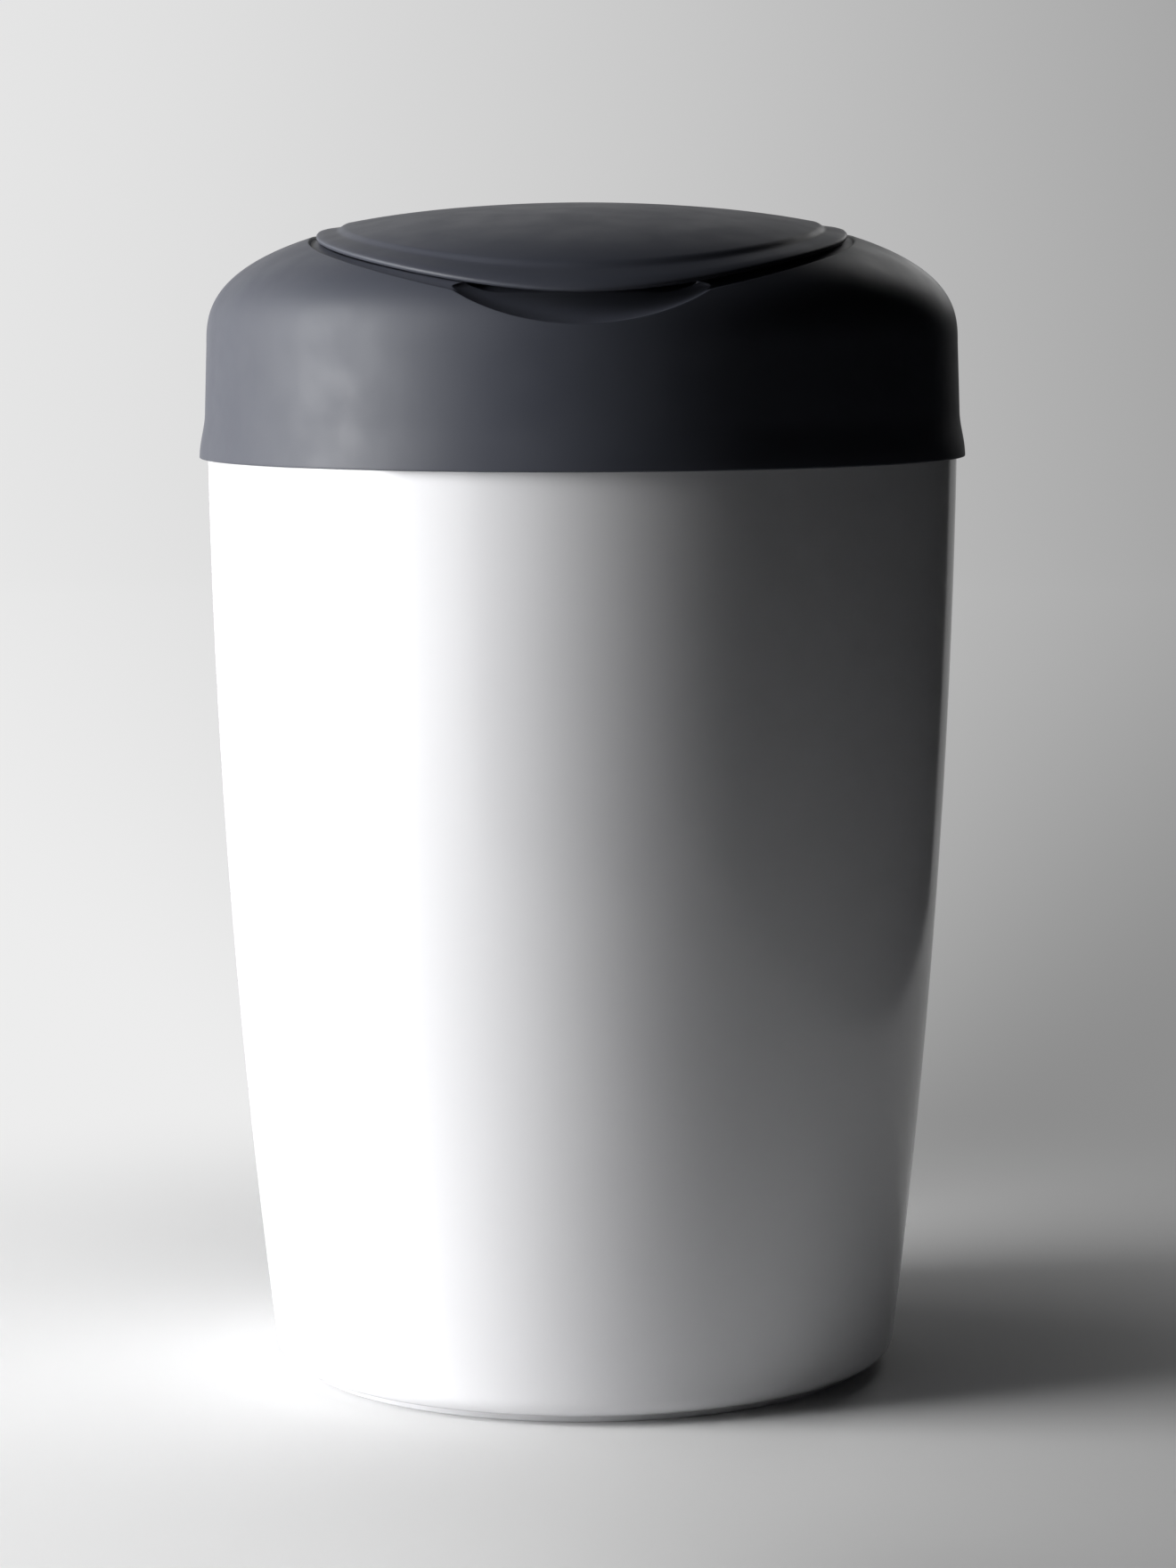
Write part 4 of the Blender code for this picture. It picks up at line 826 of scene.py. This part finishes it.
def make_deck(finish):
    plate = [
        (0, DECK_Z),
        (LOCATOR_INNER_RADIUS, DECK_Z),
        (LOCATOR_INNER_RADIUS, DECK_Z - LOCATOR_DEPTH),
        (LOCATOR_RADIUS, DECK_Z - LOCATOR_DEPTH),
        (LOCATOR_RADIUS, DECK_Z),
        (DECK_RADIUS, DECK_Z),
        (DECK_RADIUS, DECK_TOP_Z),
        (0, DECK_TOP_Z),
    ]
    floor = WELL_FLOOR_Z + DECK_WALL
    bearing = THROAT_RADIUS + BEARING_WALL
    well = [
        (THROAT_RADIUS, WELL_FLOOR_Z),
        (WELL_OUTER_RADIUS, WELL_FLOOR_Z),
        (WELL_OUTER_RADIUS, WELL_RIM_Z),
        (WELL_RADIUS, WELL_RIM_Z),
        (WELL_RADIUS, floor),
        (bearing, floor),
        (bearing, floor + BEARING_HEIGHT),
        (THROAT_RADIUS, floor + BEARING_HEIGHT),
    ]
    soft_plate = softened(plate, MECHANISM_EDGE, closed=False)
    deck = link("deck_skin", revolve(soft_plate, FINE_SIDES, closed=False))
    mouth = WELL_RADIUS + WELL_WALL / 2
    hole = [(mouth, DECK_Z - OVERRUN), (mouth, DECK_TOP_Z + OVERRUN)]
    combine(deck, revolve(hole, INNER_SIDES, TURN_CENTRE, closed=False), "DIFFERENCE")
    combine(deck, revolve(softened(well, MECHANISM_EDGE), INNER_SIDES, TURN_CENTRE), "UNION")
    end = math.radians(DECK_RIB_END_DEGREES)
    ribs = [deck_rib(end + (math.pi - 2 * end) * step / (DECK_RIBS - 1)) for step in range(DECK_RIBS)]
    combine(deck, gathered(ribs), "UNION")
    drill(deck, DECK_Z, DECK_TOP_Z, DECK_SCREWS + TOP_SCREWS)
    drill(deck, WELL_FLOOR_Z, floor, CLAMP_SCREWS)
    dress(deck, finish, "upper_unit", "cassette_deck")


def make_rim_seal(finish):
    low = TUB_RIM_Z + GAP
    high = low + RIM_SEAL_HEIGHT
    line = softened(box_line(SPIGOT_INNER_RADIUS, SPIGOT_RADIUS, low, high), RIM_SEAL_HEIGHT / 3)
    seal = link("rim_seal_skin", revolve(line, FINE_SIDES))
    dress(seal, finish, "upper_unit", "rim_seal", crease=60)


def toothed(inset, height):
    """A line round the carrier's flange, over its ratchet teeth."""
    ring = []
    for angle in turns(TEETH * TOOTH_STEPS):
        rise = TOOTH_HEIGHT * (1 - math.cos(TEETH * angle)) / 2
        ring.append((TURN_CENTRE + direction(angle) * (FLANGE_RADIUS + rise - inset)).to_3d())
    return flat_ring(ring, height)


def make_carrier(finish):
    floor = CARRIER_Z + CARRIER_FLOOR
    edge = MECHANISM_EDGE
    flange_start = FLANGE_RADIUS - edge * 2
    line = [
        (flange_start, FLANGE_TOP_Z),
        (CARRIER_INNER_RADIUS, FLANGE_TOP_Z),
        (CARRIER_INNER_RADIUS, floor),
        (CARRIER_HUB_RADIUS, floor),
        (CARRIER_HUB_RADIUS, CARRIER_Z),
        (CARRIER_RADIUS, CARRIER_Z),
        (CARRIER_RADIUS, FLANGE_Z),
        (flange_start, FLANGE_Z),
    ]
    sides = TEETH * TOOTH_STEPS
    soft = softened(line, edge, closed=False)
    rings = [circle(radius, height, sides, TURN_CENTRE) for radius, height in soft]
    low, high = FLANGE_Z, FLANGE_TOP_Z
    for inset, height in ((edge, low), (0, low + edge), (0, high - edge), (edge, high)):
        rings.append(toothed(inset, height))
    carrier = link("carrier_skin", skin(rings, closed=True))
    dress(carrier, finish, "twist", "twist_carrier")


def make_cassette(finish):
    floor = CASSETTE_Z + CASSETTE_WALL
    hub_out = CASSETTE_HUB_RADIUS + CASSETTE_WALL
    lip = CASSETTE_TOP_Z + CASSETTE_LIP_RISE
    profile = [
        (CASSETTE_HUB_RADIUS, CASSETTE_Z),
        (CASSETTE_RADIUS, CASSETTE_Z),
        (CASSETTE_RADIUS, CASSETTE_TOP_Z),
        (CASSETTE_RADIUS - CASSETTE_WALL, CASSETTE_TOP_Z),
        (CASSETTE_RADIUS - CASSETTE_WALL, floor),
        (hub_out, floor),
        (hub_out, lip),
        (CASSETTE_HUB_RADIUS, lip),
    ]
    body = turned("cassette_skin", profile, CASSETTE_WALL / 2)
    dress(body, finish, "twist", "cassette_body", crease=40)


def grip(angle):
    """One finger grip on the cap: a low block with a rounded back and rounded top edges."""
    toward = direction(angle)
    aside = Vector((-toward.y, toward.x))
    outer = CASSETTE_RADIUS - CASSETTE_WALL - GRIP_DEPTH * 2
    outline = []
    for step in range(GRIP_BOW_STEPS + 1):
        bow = math.pi * step / GRIP_BOW_STEPS
        out = outer + GRIP_DEPTH * math.sin(bow)
        outline.append(TURN_CENTRE + toward * out + aside * GRIP_WIDTH / 2 * math.cos(bow))
    middle = TURN_CENTRE + toward * (outer + GRIP_DEPTH / 2)
    high = CASSETTE_TOP_Z + GAP + GRIP_HEIGHT
    rings = [flat_ring(outline, CASSETTE_TOP_Z + GAP + CAP_WALL / 2)]
    for turn in GRIP_TURNS:
        lean = math.radians(turn)
        share = 1 - GRIP_EDGE * (1 - math.cos(lean)) / (GRIP_DEPTH / 2)
        inner = [middle + (point - middle) * share for point in outline]
        rings.append(flat_ring(inner, high - GRIP_EDGE * (1 - math.sin(lean))))
    return skin(rings)


def make_cap(finish):
    inner = CASSETTE_HUB_RADIUS + CASSETTE_WALL + FILM_SLOT
    low = CASSETTE_TOP_Z + GAP
    hem_out = CASSETTE_RADIUS - CASSETTE_WALL - GAP
    hem_in = hem_out - CASSETTE_WALL
    profile = [
        (inner, low),
        (hem_in, low),
        (hem_in, low - CAP_HEM),
        (hem_out, low - CAP_HEM),
        (hem_out, low),
        (CASSETTE_RADIUS, low),
        (CASSETTE_RADIUS, low + CAP_WALL),
        (inner, low + CAP_WALL),
    ]
    cap = turned("cap_skin", profile, CAP_WALL / 3)
    combine(cap, gathered([grip(angle) for angle in turns(GRIPS, math.pi / GRIPS)]), "UNION")
    dress(cap, finish, "twist", "cassette_cap")


def make_film(finish):
    """The film as supplied: a sleeve folded like a concertina round the hub, with creases up its folds."""
    inner = CASSETTE_HUB_RADIUS + CASSETTE_WALL + FILM_PLAY
    outer = CASSETTE_RADIUS - CASSETTE_WALL - FILM_PLAY
    low = CASSETTE_Z + CASSETTE_WALL + GAP
    line = []
    for step in range(FILM_FOLDS * 2 + 1):
        drawn = FILM_FOLD_DEPTH * (1 - step % 2)
        line.append((outer - drawn, low + FILM_HEIGHT * step / (FILM_FOLDS * 2)))
    inward = [(inner + outer - radius, height) for radius, height in line[::-1]]
    rings = []
    for radius, height in softened(line + inward, FILM_FOLD_DEPTH / 2, steps=FILM_FOLD_STEPS):
        ring = []
        for angle in turns(FINE_SIDES):
            drift = FILM_DRIFT * math.sin(FILM_DRIFT_WAVES * angle) * height
            crease = abs(FILM_CREASE_DEPTH * math.sin(FILM_CREASES * angle + drift))
            reach = radius - crease if radius > (inner + outer) / 2 else radius + crease
            ring.append((TURN_CENTRE + direction(angle) * reach).to_3d())
        rings.append(flat_ring(ring, height))
    film = link("film_skin", skin(rings, closed=True))
    dress(film, finish, "twist", "film_pack", crease=50)


def finger(angle):
    """One soft finger of the gripper, which leans in and down and ends in a round tip."""
    high = GRIPPER_Z + GRIPPER_WALL - GAUGE
    root = THROAT_RADIUS + GRIPPER_WALL
    spread = math.pi / FINGERS * FINGER_SPREAD
    sections = []
    for station in range(FINGER_STATIONS + 1):
        share = math.sin(math.pi / 2 * station / FINGER_STATIONS)
        radius = root + (THROAT_RADIUS - FINGER_REACH - root) * share
        height = high - FINGER_DROP * share
        tip = max(share - 1 + FINGER_TIP_SHARE, 0) / FINGER_TIP_SHARE
        half = spread * max(math.sqrt(1 - tip**2), FINGER_END_SHARE)
        sweep = [
            angle + half * (step * 2 / FINGER_SWEEP_STEPS - 1)
            for step in range(FINGER_SWEEP_STEPS + 1)
        ]
        top = [(TURN_CENTRE + direction(turn) * radius).to_3d() for turn in sweep]
        sections.append(flat_ring(top, height) + flat_ring(top[::-1], height - FINGER_WALL))
    return skin(sections)


def make_gripper(finish):
    high = GRIPPER_Z + GRIPPER_WALL
    outer = THROAT_RADIUS + GRIPPER_WIDTH
    gripper = turned("gripper_skin", box_line(THROAT_RADIUS, outer, GRIPPER_Z, high), MECHANISM_EDGE)
    for angle in turns(FINGERS):
        combine(gripper, finger(angle), "UNION")
    drill(gripper, GRIPPER_Z, high, CLAMP_SCREWS)
    dress(gripper, finish, "upper_unit", "gripper_ring", crease=40)


def make_clamp(finish):
    high = CLAMP_Z + CLAMP_WALL
    inner = THROAT_RADIUS + CLAMP_STEP
    ring = box_line(inner, inner + CLAMP_WIDTH, CLAMP_Z, high)
    clamp = turned("clamp_skin", ring, MECHANISM_EDGE * 2)
    drill(clamp, CLAMP_Z, high, CLAMP_SCREWS)
    dress(clamp, finish, "upper_unit", "gripper_clamp", crease=40)


def make_screw(finish, node, upward):
    """A pan-head screw with a cross recess, in the place of its node. An upward one has its head below."""
    low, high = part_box(node)
    centre = screw_centre(node)
    head, tip = (low.z, high.z) if upward > 0 else (high.z, low.z)
    face = head + upward * SCREW_HEAD_HEIGHT
    line = [(0, head)]
    for turn in SCREW_CROWN_TURNS:
        lean = math.radians(turn)
        fall = SCREW_HEAD_HEIGHT * SCREW_CROWN_SHARE * (1 - math.cos(lean))
        line.append((SCREW_HEAD_RADIUS * math.sin(lean), head + upward * fall))
    line += [
        (SCREW_HEAD_RADIUS, face),
        (SCREW_RADIUS, face),
        (SCREW_RADIUS, tip - upward * SCREW_RADIUS),
        (SCREW_RADIUS * SCREW_TIP_SHARE, tip),
        (0, tip),
    ]
    made = link(f"{node}_skin", revolve(line, PIN_SIDES, centre, closed=False))
    ends = sorted((head - upward * OVERRUN, head + upward * CROSS_DEPTH))
    for half_x, half_y in ((CROSS_LENGTH / 2, CROSS_WIDTH / 2), (CROSS_WIDTH / 2, CROSS_LENGTH / 2)):
        corner = Vector((half_x, half_y)).to_3d()
        middle = centre.to_3d()
        slot = block(middle - corner + Vector((0, 0, ends[0])), middle + corner + Vector((0, 0, ends[1])))
        combine(made, slot, "DIFFERENCE")
    dress(made, finish, "upper_unit", node)


def dress_node(node, finish, edge):
    """Softens the edges of a CAD node that stays in sight, and gives it its material."""
    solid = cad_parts[node]
    solid.data.materials.clear()
    solid.data.materials.append(finish)
    bevel = solid.modifiers.new("soft_edges", "BEVEL")
    bevel.width = edge
    bevel.segments = 3
    bevel.limit_method = "ANGLE"
    bevel.angle_limit = math.radians(CREASE_DEGREES)
    bevel.harden_normals = True


def new_material(name):
    made = bpy.data.materials.new(name)
    made.use_nodes = True
    return made, made.node_tree.nodes, made.node_tree.links, made.node_tree.nodes["Principled BSDF"]


def noise(nodes, links, scale, detail=2.0, roughness=0.5):
    """Noise fixed to the object's own space."""
    place = nodes.new("ShaderNodeTexCoord")
    field = nodes.new("ShaderNodeTexNoise")
    field.inputs["Scale"].default_value = scale
    field.inputs["Detail"].default_value = detail
    field.inputs["Roughness"].default_value = roughness
    links.new(place.outputs["Object"], field.inputs["Vector"])
    return field.outputs["Fac"]


def spread(nodes, links, source, low, high):
    """Maps a noise's middle band to a range of values."""
    span = nodes.new("ShaderNodeMapRange")
    span.inputs["From Min"].default_value = 0.35
    span.inputs["From Max"].default_value = 0.65
    span.inputs["To Min"].default_value = low
    span.inputs["To Max"].default_value = high
    links.new(source, span.inputs["Value"])
    return span.outputs["Result"]


def tinted(nodes, links, source, first, second):
    mix = nodes.new("ShaderNodeMix")
    mix.data_type = "RGBA"
    mix.inputs["A"].default_value = (*first, 1)
    mix.inputs["B"].default_value = (*second, 1)
    links.new(source, mix.inputs["Factor"])
    return mix.outputs["Result"]


def shaded(colour, share):
    return tuple(channel * share for channel in colour)


def surface(name, colour, tints, shine, clouds, patches, grain, strength, distance):
    """Two close tints in clouds, a shine that varies in patches, and a relief.

    Clouds, patches and grain are noises: scale, detail and roughness.
    """
    made, nodes, links, shader = new_material(name)
    cloudy = spread(nodes, links, noise(nodes, links, *clouds), 0, 1)
    mixed = tinted(nodes, links, cloudy, *(shaded(colour, tint) for tint in tints))
    links.new(mixed, shader.inputs["Base Color"])
    links.new(spread(nodes, links, noise(nodes, links, *patches), *shine), shader.inputs["Roughness"])
    bump = nodes.new("ShaderNodeBump")
    bump.inputs["Strength"].default_value = strength
    bump.inputs["Distance"].default_value = distance
    links.new(noise(nodes, links, *grain), bump.inputs["Height"])
    links.new(bump.outputs["Normal"], shader.inputs["Normal"])
    return made, nodes, links, shader, bump


def moulded(name, colour, roughness, grain=1600.0, depth=0.06, tint=0.06, specular=0.5, round_edge=0.0):
    """A moulded plastic: soft clouds of tint, uneven gloss and the fine grain of its mould."""
    made, nodes, links, shader, bump = surface(
        name, colour, tints=(1 - tint, 1 + tint), shine=(roughness * 0.92, roughness * 1.08),
        clouds=(9.0, 3.0), patches=(54.0, 4.0), grain=(grain, 2.0, 0.6), strength=depth, distance=0.0004,
    )
    shader.inputs["Specular IOR Level"].default_value = specular
    if round_edge:
        bevel = nodes.new("ShaderNodeBevel")
        bevel.samples = 6
        bevel.inputs["Radius"].default_value = round_edge
        links.new(bevel.outputs["Normal"], bump.inputs["Normal"])
    return made


def gloss(name, colour, roughness):
    """A polished moulding: hardly any grain, and a long shallow waviness in its shine."""
    return surface(
        name, colour, tints=(0.985, 1.01), shine=(roughness * 0.85, roughness * 1.15),
        clouds=(7.0, 2.0), patches=(40.0, 3.0), grain=(55.0, 1.0), strength=0.05, distance=0.0006,
    )[0]


def film_sheen(name, colour):
    """Thin gathered film: bright creases in its gloss and a milky tint that varies from fold to fold."""
    made, nodes, links, shader, bump = surface(
        name, colour, tints=(0.82, 1.15), shine=(0.18, 0.4), clouds=(60.0, 4.0, 0.65),
        patches=(180.0, 3.0), grain=(140.0, 5.0, 0.7), strength=0.5, distance=0.0008,
    )
    shader.inputs["Transmission Weight"].default_value = 0.15
    return made


def plated(name, colour):
    """Zinc-plated steel: fine scratches in the shine and a faint mottle."""
    made, nodes, links, shader, bump = surface(
        name, colour, tints=(0.86, 1.1), shine=(0.24, 0.42), clouds=(420.0, 3.0),
        patches=(900.0, 4.0, 0.7), grain=(2400.0, 2.0), strength=0.08, distance=0.0002,
    )
    shader.inputs["Metallic"].default_value = 1.0
    return made


# Camera of the photograph: its place, tilt and lens were fitted to the rim and foot ellipses
EYE = Vector((0.00175, -1.748, 0.4142))
EYE_TILT_DEGREES = 6.367
EYE_ROLL_DEGREES = -0.16
PICTURE_HEIGHT_PX = 1760
FOCAL_PX = 5227
SENSOR_MM = 36.0


def make_camera():
    data = bpy.data.cameras.new("camera")
    data.sensor_fit = "AUTO"
    data.sensor_width = SENSOR_MM
    data.lens = SENSOR_MM * FOCAL_PX / PICTURE_HEIGHT_PX
    data.clip_end = 50
    camera = bpy.data.objects.new("camera", data)
    bpy.context.scene.collection.objects.link(camera)
    camera.location = EYE
    camera.rotation_mode = "XYZ"
    camera.rotation_euler = (math.radians(90 - EYE_TILT_DEGREES), 0, 0)
    camera.rotation_euler.rotate_axis("Z", math.radians(EYE_ROLL_DEGREES))
    bpy.context.scene.camera = camera


# Studio: a pale floor that rises far off into a glowing wall all round, two tall soft lights on the left, a
# weak one behind on the right, and a black card on the right and in front, which the camera doesn't see and
# which keeps the far side dark. The wall's glow is painted light, brighter on the left and darker on the
# right as if lit from the left. The wall is seen, but it lights nothing
FLOOR_EDGE = 0.45
BOWL_RADII = (FLOOR_EDGE, 1.0, 2.0, 3.0, 4.2)
WALL_BEND = 1.0
WALL_BEND_STEPS = 12
WALL_HEIGHT = 5.0
STUDIO_SIDES = 96
PAPER = 0.80
PAPER_ROUGHNESS = 0.9
PAPER_SPECULAR = 0.1
# Painted backdrop light: the wall's glow, brighter on the left and darker on the right as if lit from the
# left
PAINTED_GLOW_LEFT = 0.83
PAINTED_GLOW_RIGHT = 0.25
PAINTED_FALLOFF_SWEEP = (-0.35, 0.45)
PAINTED_GLOW_REACH = (0.08, 0.60)
SOFT_REACH = 1.3
SOFT_HEIGHT = 0.6
SOFT_SIZE = (1.05, 1.9)
SOFT_FADE = 0.3
KEY_DEGREES = 74
KEY_POWER = 78
SIDE_DEGREES = 108
SIDE_POWER = 8
RIM_PLACE = (0.75, 1.5, 0.9)
RIM_AIM = (0, 0, 0.25)
RIM_SIZE = 0.7
RIM_POWER = 3
CARD_LINE = ((0.62, 0.95), (0.62, -0.9), (-0.55, -0.9))
CARD_HEIGHT = 2.2
CARD_SHADE = 0.004
WORLD_COLOUR = (0.9, 0.95, 1, 1)
WORLD_STRENGTH = 0.03


def make_studio():
    """The floor under the bin, and the bowl round it, which share one paper."""
    bowl = [(radius, 0) for radius in BOWL_RADII]
    for step in range(1, WALL_BEND_STEPS + 1):
        angle = math.pi / 2 * step / WALL_BEND_STEPS
        bowl.append((BOWL_RADII[-1] + WALL_BEND * math.sin(angle), WALL_BEND * (1 - math.cos(angle))))
    bowl.append((BOWL_RADII[-1] + WALL_BEND, WALL_HEIGHT))
    paper = paper_with_painted_glow()
    for name, profile in (("studio_floor", [(0, 0), (FLOOR_EDGE, 0)]), ("studio_bowl", bowl)):
        studio = link(name, revolve(profile, STUDIO_SIDES, closed=False, capped=False))
        studio.data.shade_smooth()
        studio.data.materials.append(paper)
        studio.visible_diffuse = profile is not bowl


def math_node(nodes, links, operation, first, second):
    """One sum or product in a material, of two sources or of a source and a number."""
    node = nodes.new("ShaderNodeMath")
    node.operation = operation
    for socket, value in zip(node.inputs, (first, second)):
        if isinstance(value, (int, float)):
            socket.default_value = value
        else:
            links.new(value, socket)
    return node.outputs["Value"]


def vector_node(nodes, links, operation, source):
    node = nodes.new("ShaderNodeVectorMath")
    node.operation = operation
    links.new(source, node.inputs[0])
    return node


def faded(nodes, links, source, low, high, start=0.0, end=1.0):
    """An even rise from start to end while the source goes from low to high."""
    ramp = nodes.new("ShaderNodeMapRange")
    ramp.interpolation_type = "SMOOTHERSTEP"
    ramp.inputs["From Min"].default_value = low
    ramp.inputs["From Max"].default_value = high
    ramp.inputs["To Min"].default_value = start
    ramp.inputs["To Max"].default_value = end
    links.new(source, ramp.inputs["Value"])
    return ramp.outputs["Result"]


def paper_with_painted_glow():
    """Matt paper that gives way to a smooth glow with its distance from the bin: painted backdrop light,
    brighter on the left and darker on the right as if lit from the left.
    """
    made, nodes, links, shader = new_material("paper_with_painted_glow")
    shader.inputs["Roughness"].default_value = PAPER_ROUGHNESS
    shader.inputs["Specular IOR Level"].default_value = PAPER_SPECULAR
    shader.inputs["Emission Color"].default_value = (1, 1, 1, 1)
    plan = vector_node(nodes, links, "MULTIPLY", nodes.new("ShaderNodeTexCoord").outputs["Object"])
    plan.inputs[1].default_value = (1, 1, 0)
    away = vector_node(nodes, links, "LENGTH", plan.outputs["Vector"])
    aside = vector_node(nodes, links, "NORMALIZE", plan.outputs["Vector"])
    split = nodes.new("ShaderNodeSeparateXYZ")
    links.new(aside.outputs["Vector"], split.inputs["Vector"])
    # Away from the bin the paper turns black and only the painted glow is left
    reach = faded(nodes, links, away.outputs["Value"], *PAINTED_GLOW_REACH)
    links.new(tinted(nodes, links, reach, (PAPER, PAPER, PAPER), (0, 0, 0)), shader.inputs["Base Color"])
    # Painted light: the glow falls off from left to right, as if the key on the left lit the far wall and
    # the right lay in its shade
    painted_falloff = faded(nodes, links, split.outputs["X"], *PAINTED_FALLOFF_SWEEP, PAINTED_GLOW_LEFT, PAINTED_GLOW_RIGHT)
    links.new(math_node(nodes, links, "MULTIPLY", reach, painted_falloff), shader.inputs["Emission Strength"])
    return made


def make_card():
    """An upright black card with a fold, which only the light and the reflections meet."""
    mesh = bmesh.new()
    rows = [[mesh.verts.new((*end, height)) for end in CARD_LINE] for height in (GAUGE, CARD_HEIGHT)]
    for step in range(len(CARD_LINE) - 1):
        mesh.faces.new([rows[0][step], rows[0][step + 1], rows[1][step + 1], rows[1][step]])
    card = link("black_card", mesh)
    made, nodes, links, shader = new_material("black_card")
    shader.inputs["Base Color"].default_value = (CARD_SHADE, CARD_SHADE, CARD_SHADE, 1)
    shader.inputs["Roughness"].default_value = 1
    shader.inputs["Specular IOR Level"].default_value = 0
    card.data.materials.append(made)
    card.visible_camera = False


def place_light(name, data, place, aim):
    light = bpy.data.objects.new(name, data)
    bpy.context.scene.collection.objects.link(light)
    light.location = place
    light.rotation_mode = "QUATERNION"
    light.rotation_quaternion = (Vector(aim) - Vector(place)).to_track_quat("-Z", "Y")
    light.visible_camera = False


def make_soft_light(name, degrees, power):
    """A tall soft light whose sides fade out, so that no hard frame shows in the gloss."""
    data = bpy.data.lights.new(name, "AREA")
    data.shape = "RECTANGLE"
    data.size, data.size_y = SOFT_SIZE
    data.energy = power
    data.use_nodes = True
    nodes, links = data.node_tree.nodes, data.node_tree.links
    spot = nodes.new("ShaderNodeNewGeometry")
    split = nodes.new("ShaderNodeSeparateXYZ")
    links.new(spot.outputs["Parametric"], split.inputs["Vector"])
    fades = []
    for axis in ("X", "Y"):
        rise = faded(nodes, links, split.outputs[axis], 0, SOFT_FADE)
        fall = faded(nodes, links, split.outputs[axis], 1 - SOFT_FADE, 1, 1, 0)
        fades.append(math_node(nodes, links, "MULTIPLY", rise, fall))
    strength = math_node(nodes, links, "MULTIPLY", *fades)
    links.new(strength, nodes["Emission"].inputs["Strength"])
    turn = math.radians(degrees)
    place = (-SOFT_REACH * math.sin(turn), -SOFT_REACH * math.cos(turn), SOFT_HEIGHT)
    place_light(name, data, place, (0, 0, SOFT_HEIGHT))


def make_rim():
    """A weak light from behind on the right, for the edge and the rear of the bin."""
    data = bpy.data.lights.new("rim", "AREA")
    data.shape = "DISK"
    data.size = RIM_SIZE
    data.energy = RIM_POWER
    place_light("rim", data, RIM_PLACE, RIM_AIM)


def make_lights():
    world = bpy.data.worlds.new("world")
    world.use_nodes = True
    world.node_tree.nodes["Background"].inputs["Color"].default_value = WORLD_COLOUR
    world.node_tree.nodes["Background"].inputs["Strength"].default_value = WORLD_STRENGTH
    bpy.context.scene.world = world
    bpy.context.scene.view_settings.view_transform = "Standard"
    make_soft_light("key", KEY_DEGREES, KEY_POWER)
    make_soft_light("side", SIDE_DEGREES, SIDE_POWER)
    make_rim()
    make_card()


make_camera()
make_studio()
make_lights()

white = gloss("tub_gloss_white", (0.84, 0.84, 0.86), 0.12)
grey = moulded("cover_satin_grey", (0.048, 0.052, 0.068), 0.5, specular=0.36, round_edge=0.0007)
inner_grey = moulded("inner_matt_grey", (0.15, 0.155, 0.17), 0.5)
rubber = moulded("seal_black_rubber", (0.03, 0.03, 0.032), 0.75)
accent = moulded("accent_satin_teal", (0.05, 0.32, 0.36), 0.42)
pale = gloss("cassette_gloss_white", (0.8, 0.81, 0.82), 0.3)
soft = moulded("gripper_soft_grey", (0.35, 0.36, 0.38), 0.62, grain=900.0, depth=0.12)
acetal = moulded("acetal_milk_white", (0.75, 0.75, 0.72), 0.38)
film = film_sheen("film_thin_blue", (0.45, 0.6, 0.72))
steel = plated("screw_zinc_steel", (0.6, 0.61, 0.62))

make_tub(white)
make_cover(grey)
make_lid(grey)
make_liner(inner_grey)
make_lid_seal(rubber)
make_rod(steel)
make_deck(inner_grey)
make_rim_seal(rubber)
make_carrier(inner_grey)
make_cassette(pale)
make_cap(accent)
make_film(film)
make_gripper(soft)
make_clamp(inner_grey)
for name in DECK_SCREWS + CLAMP_SCREWS:
    make_screw(steel, name, 1)
for name in TOP_SCREWS:
    make_screw(steel, name, -1)
dress_node("click_spring", acetal, 0.0003)
dress_node("cutter_housing", accent, 0.0006)
dress_node("cutter_blade", steel, 0.00005)
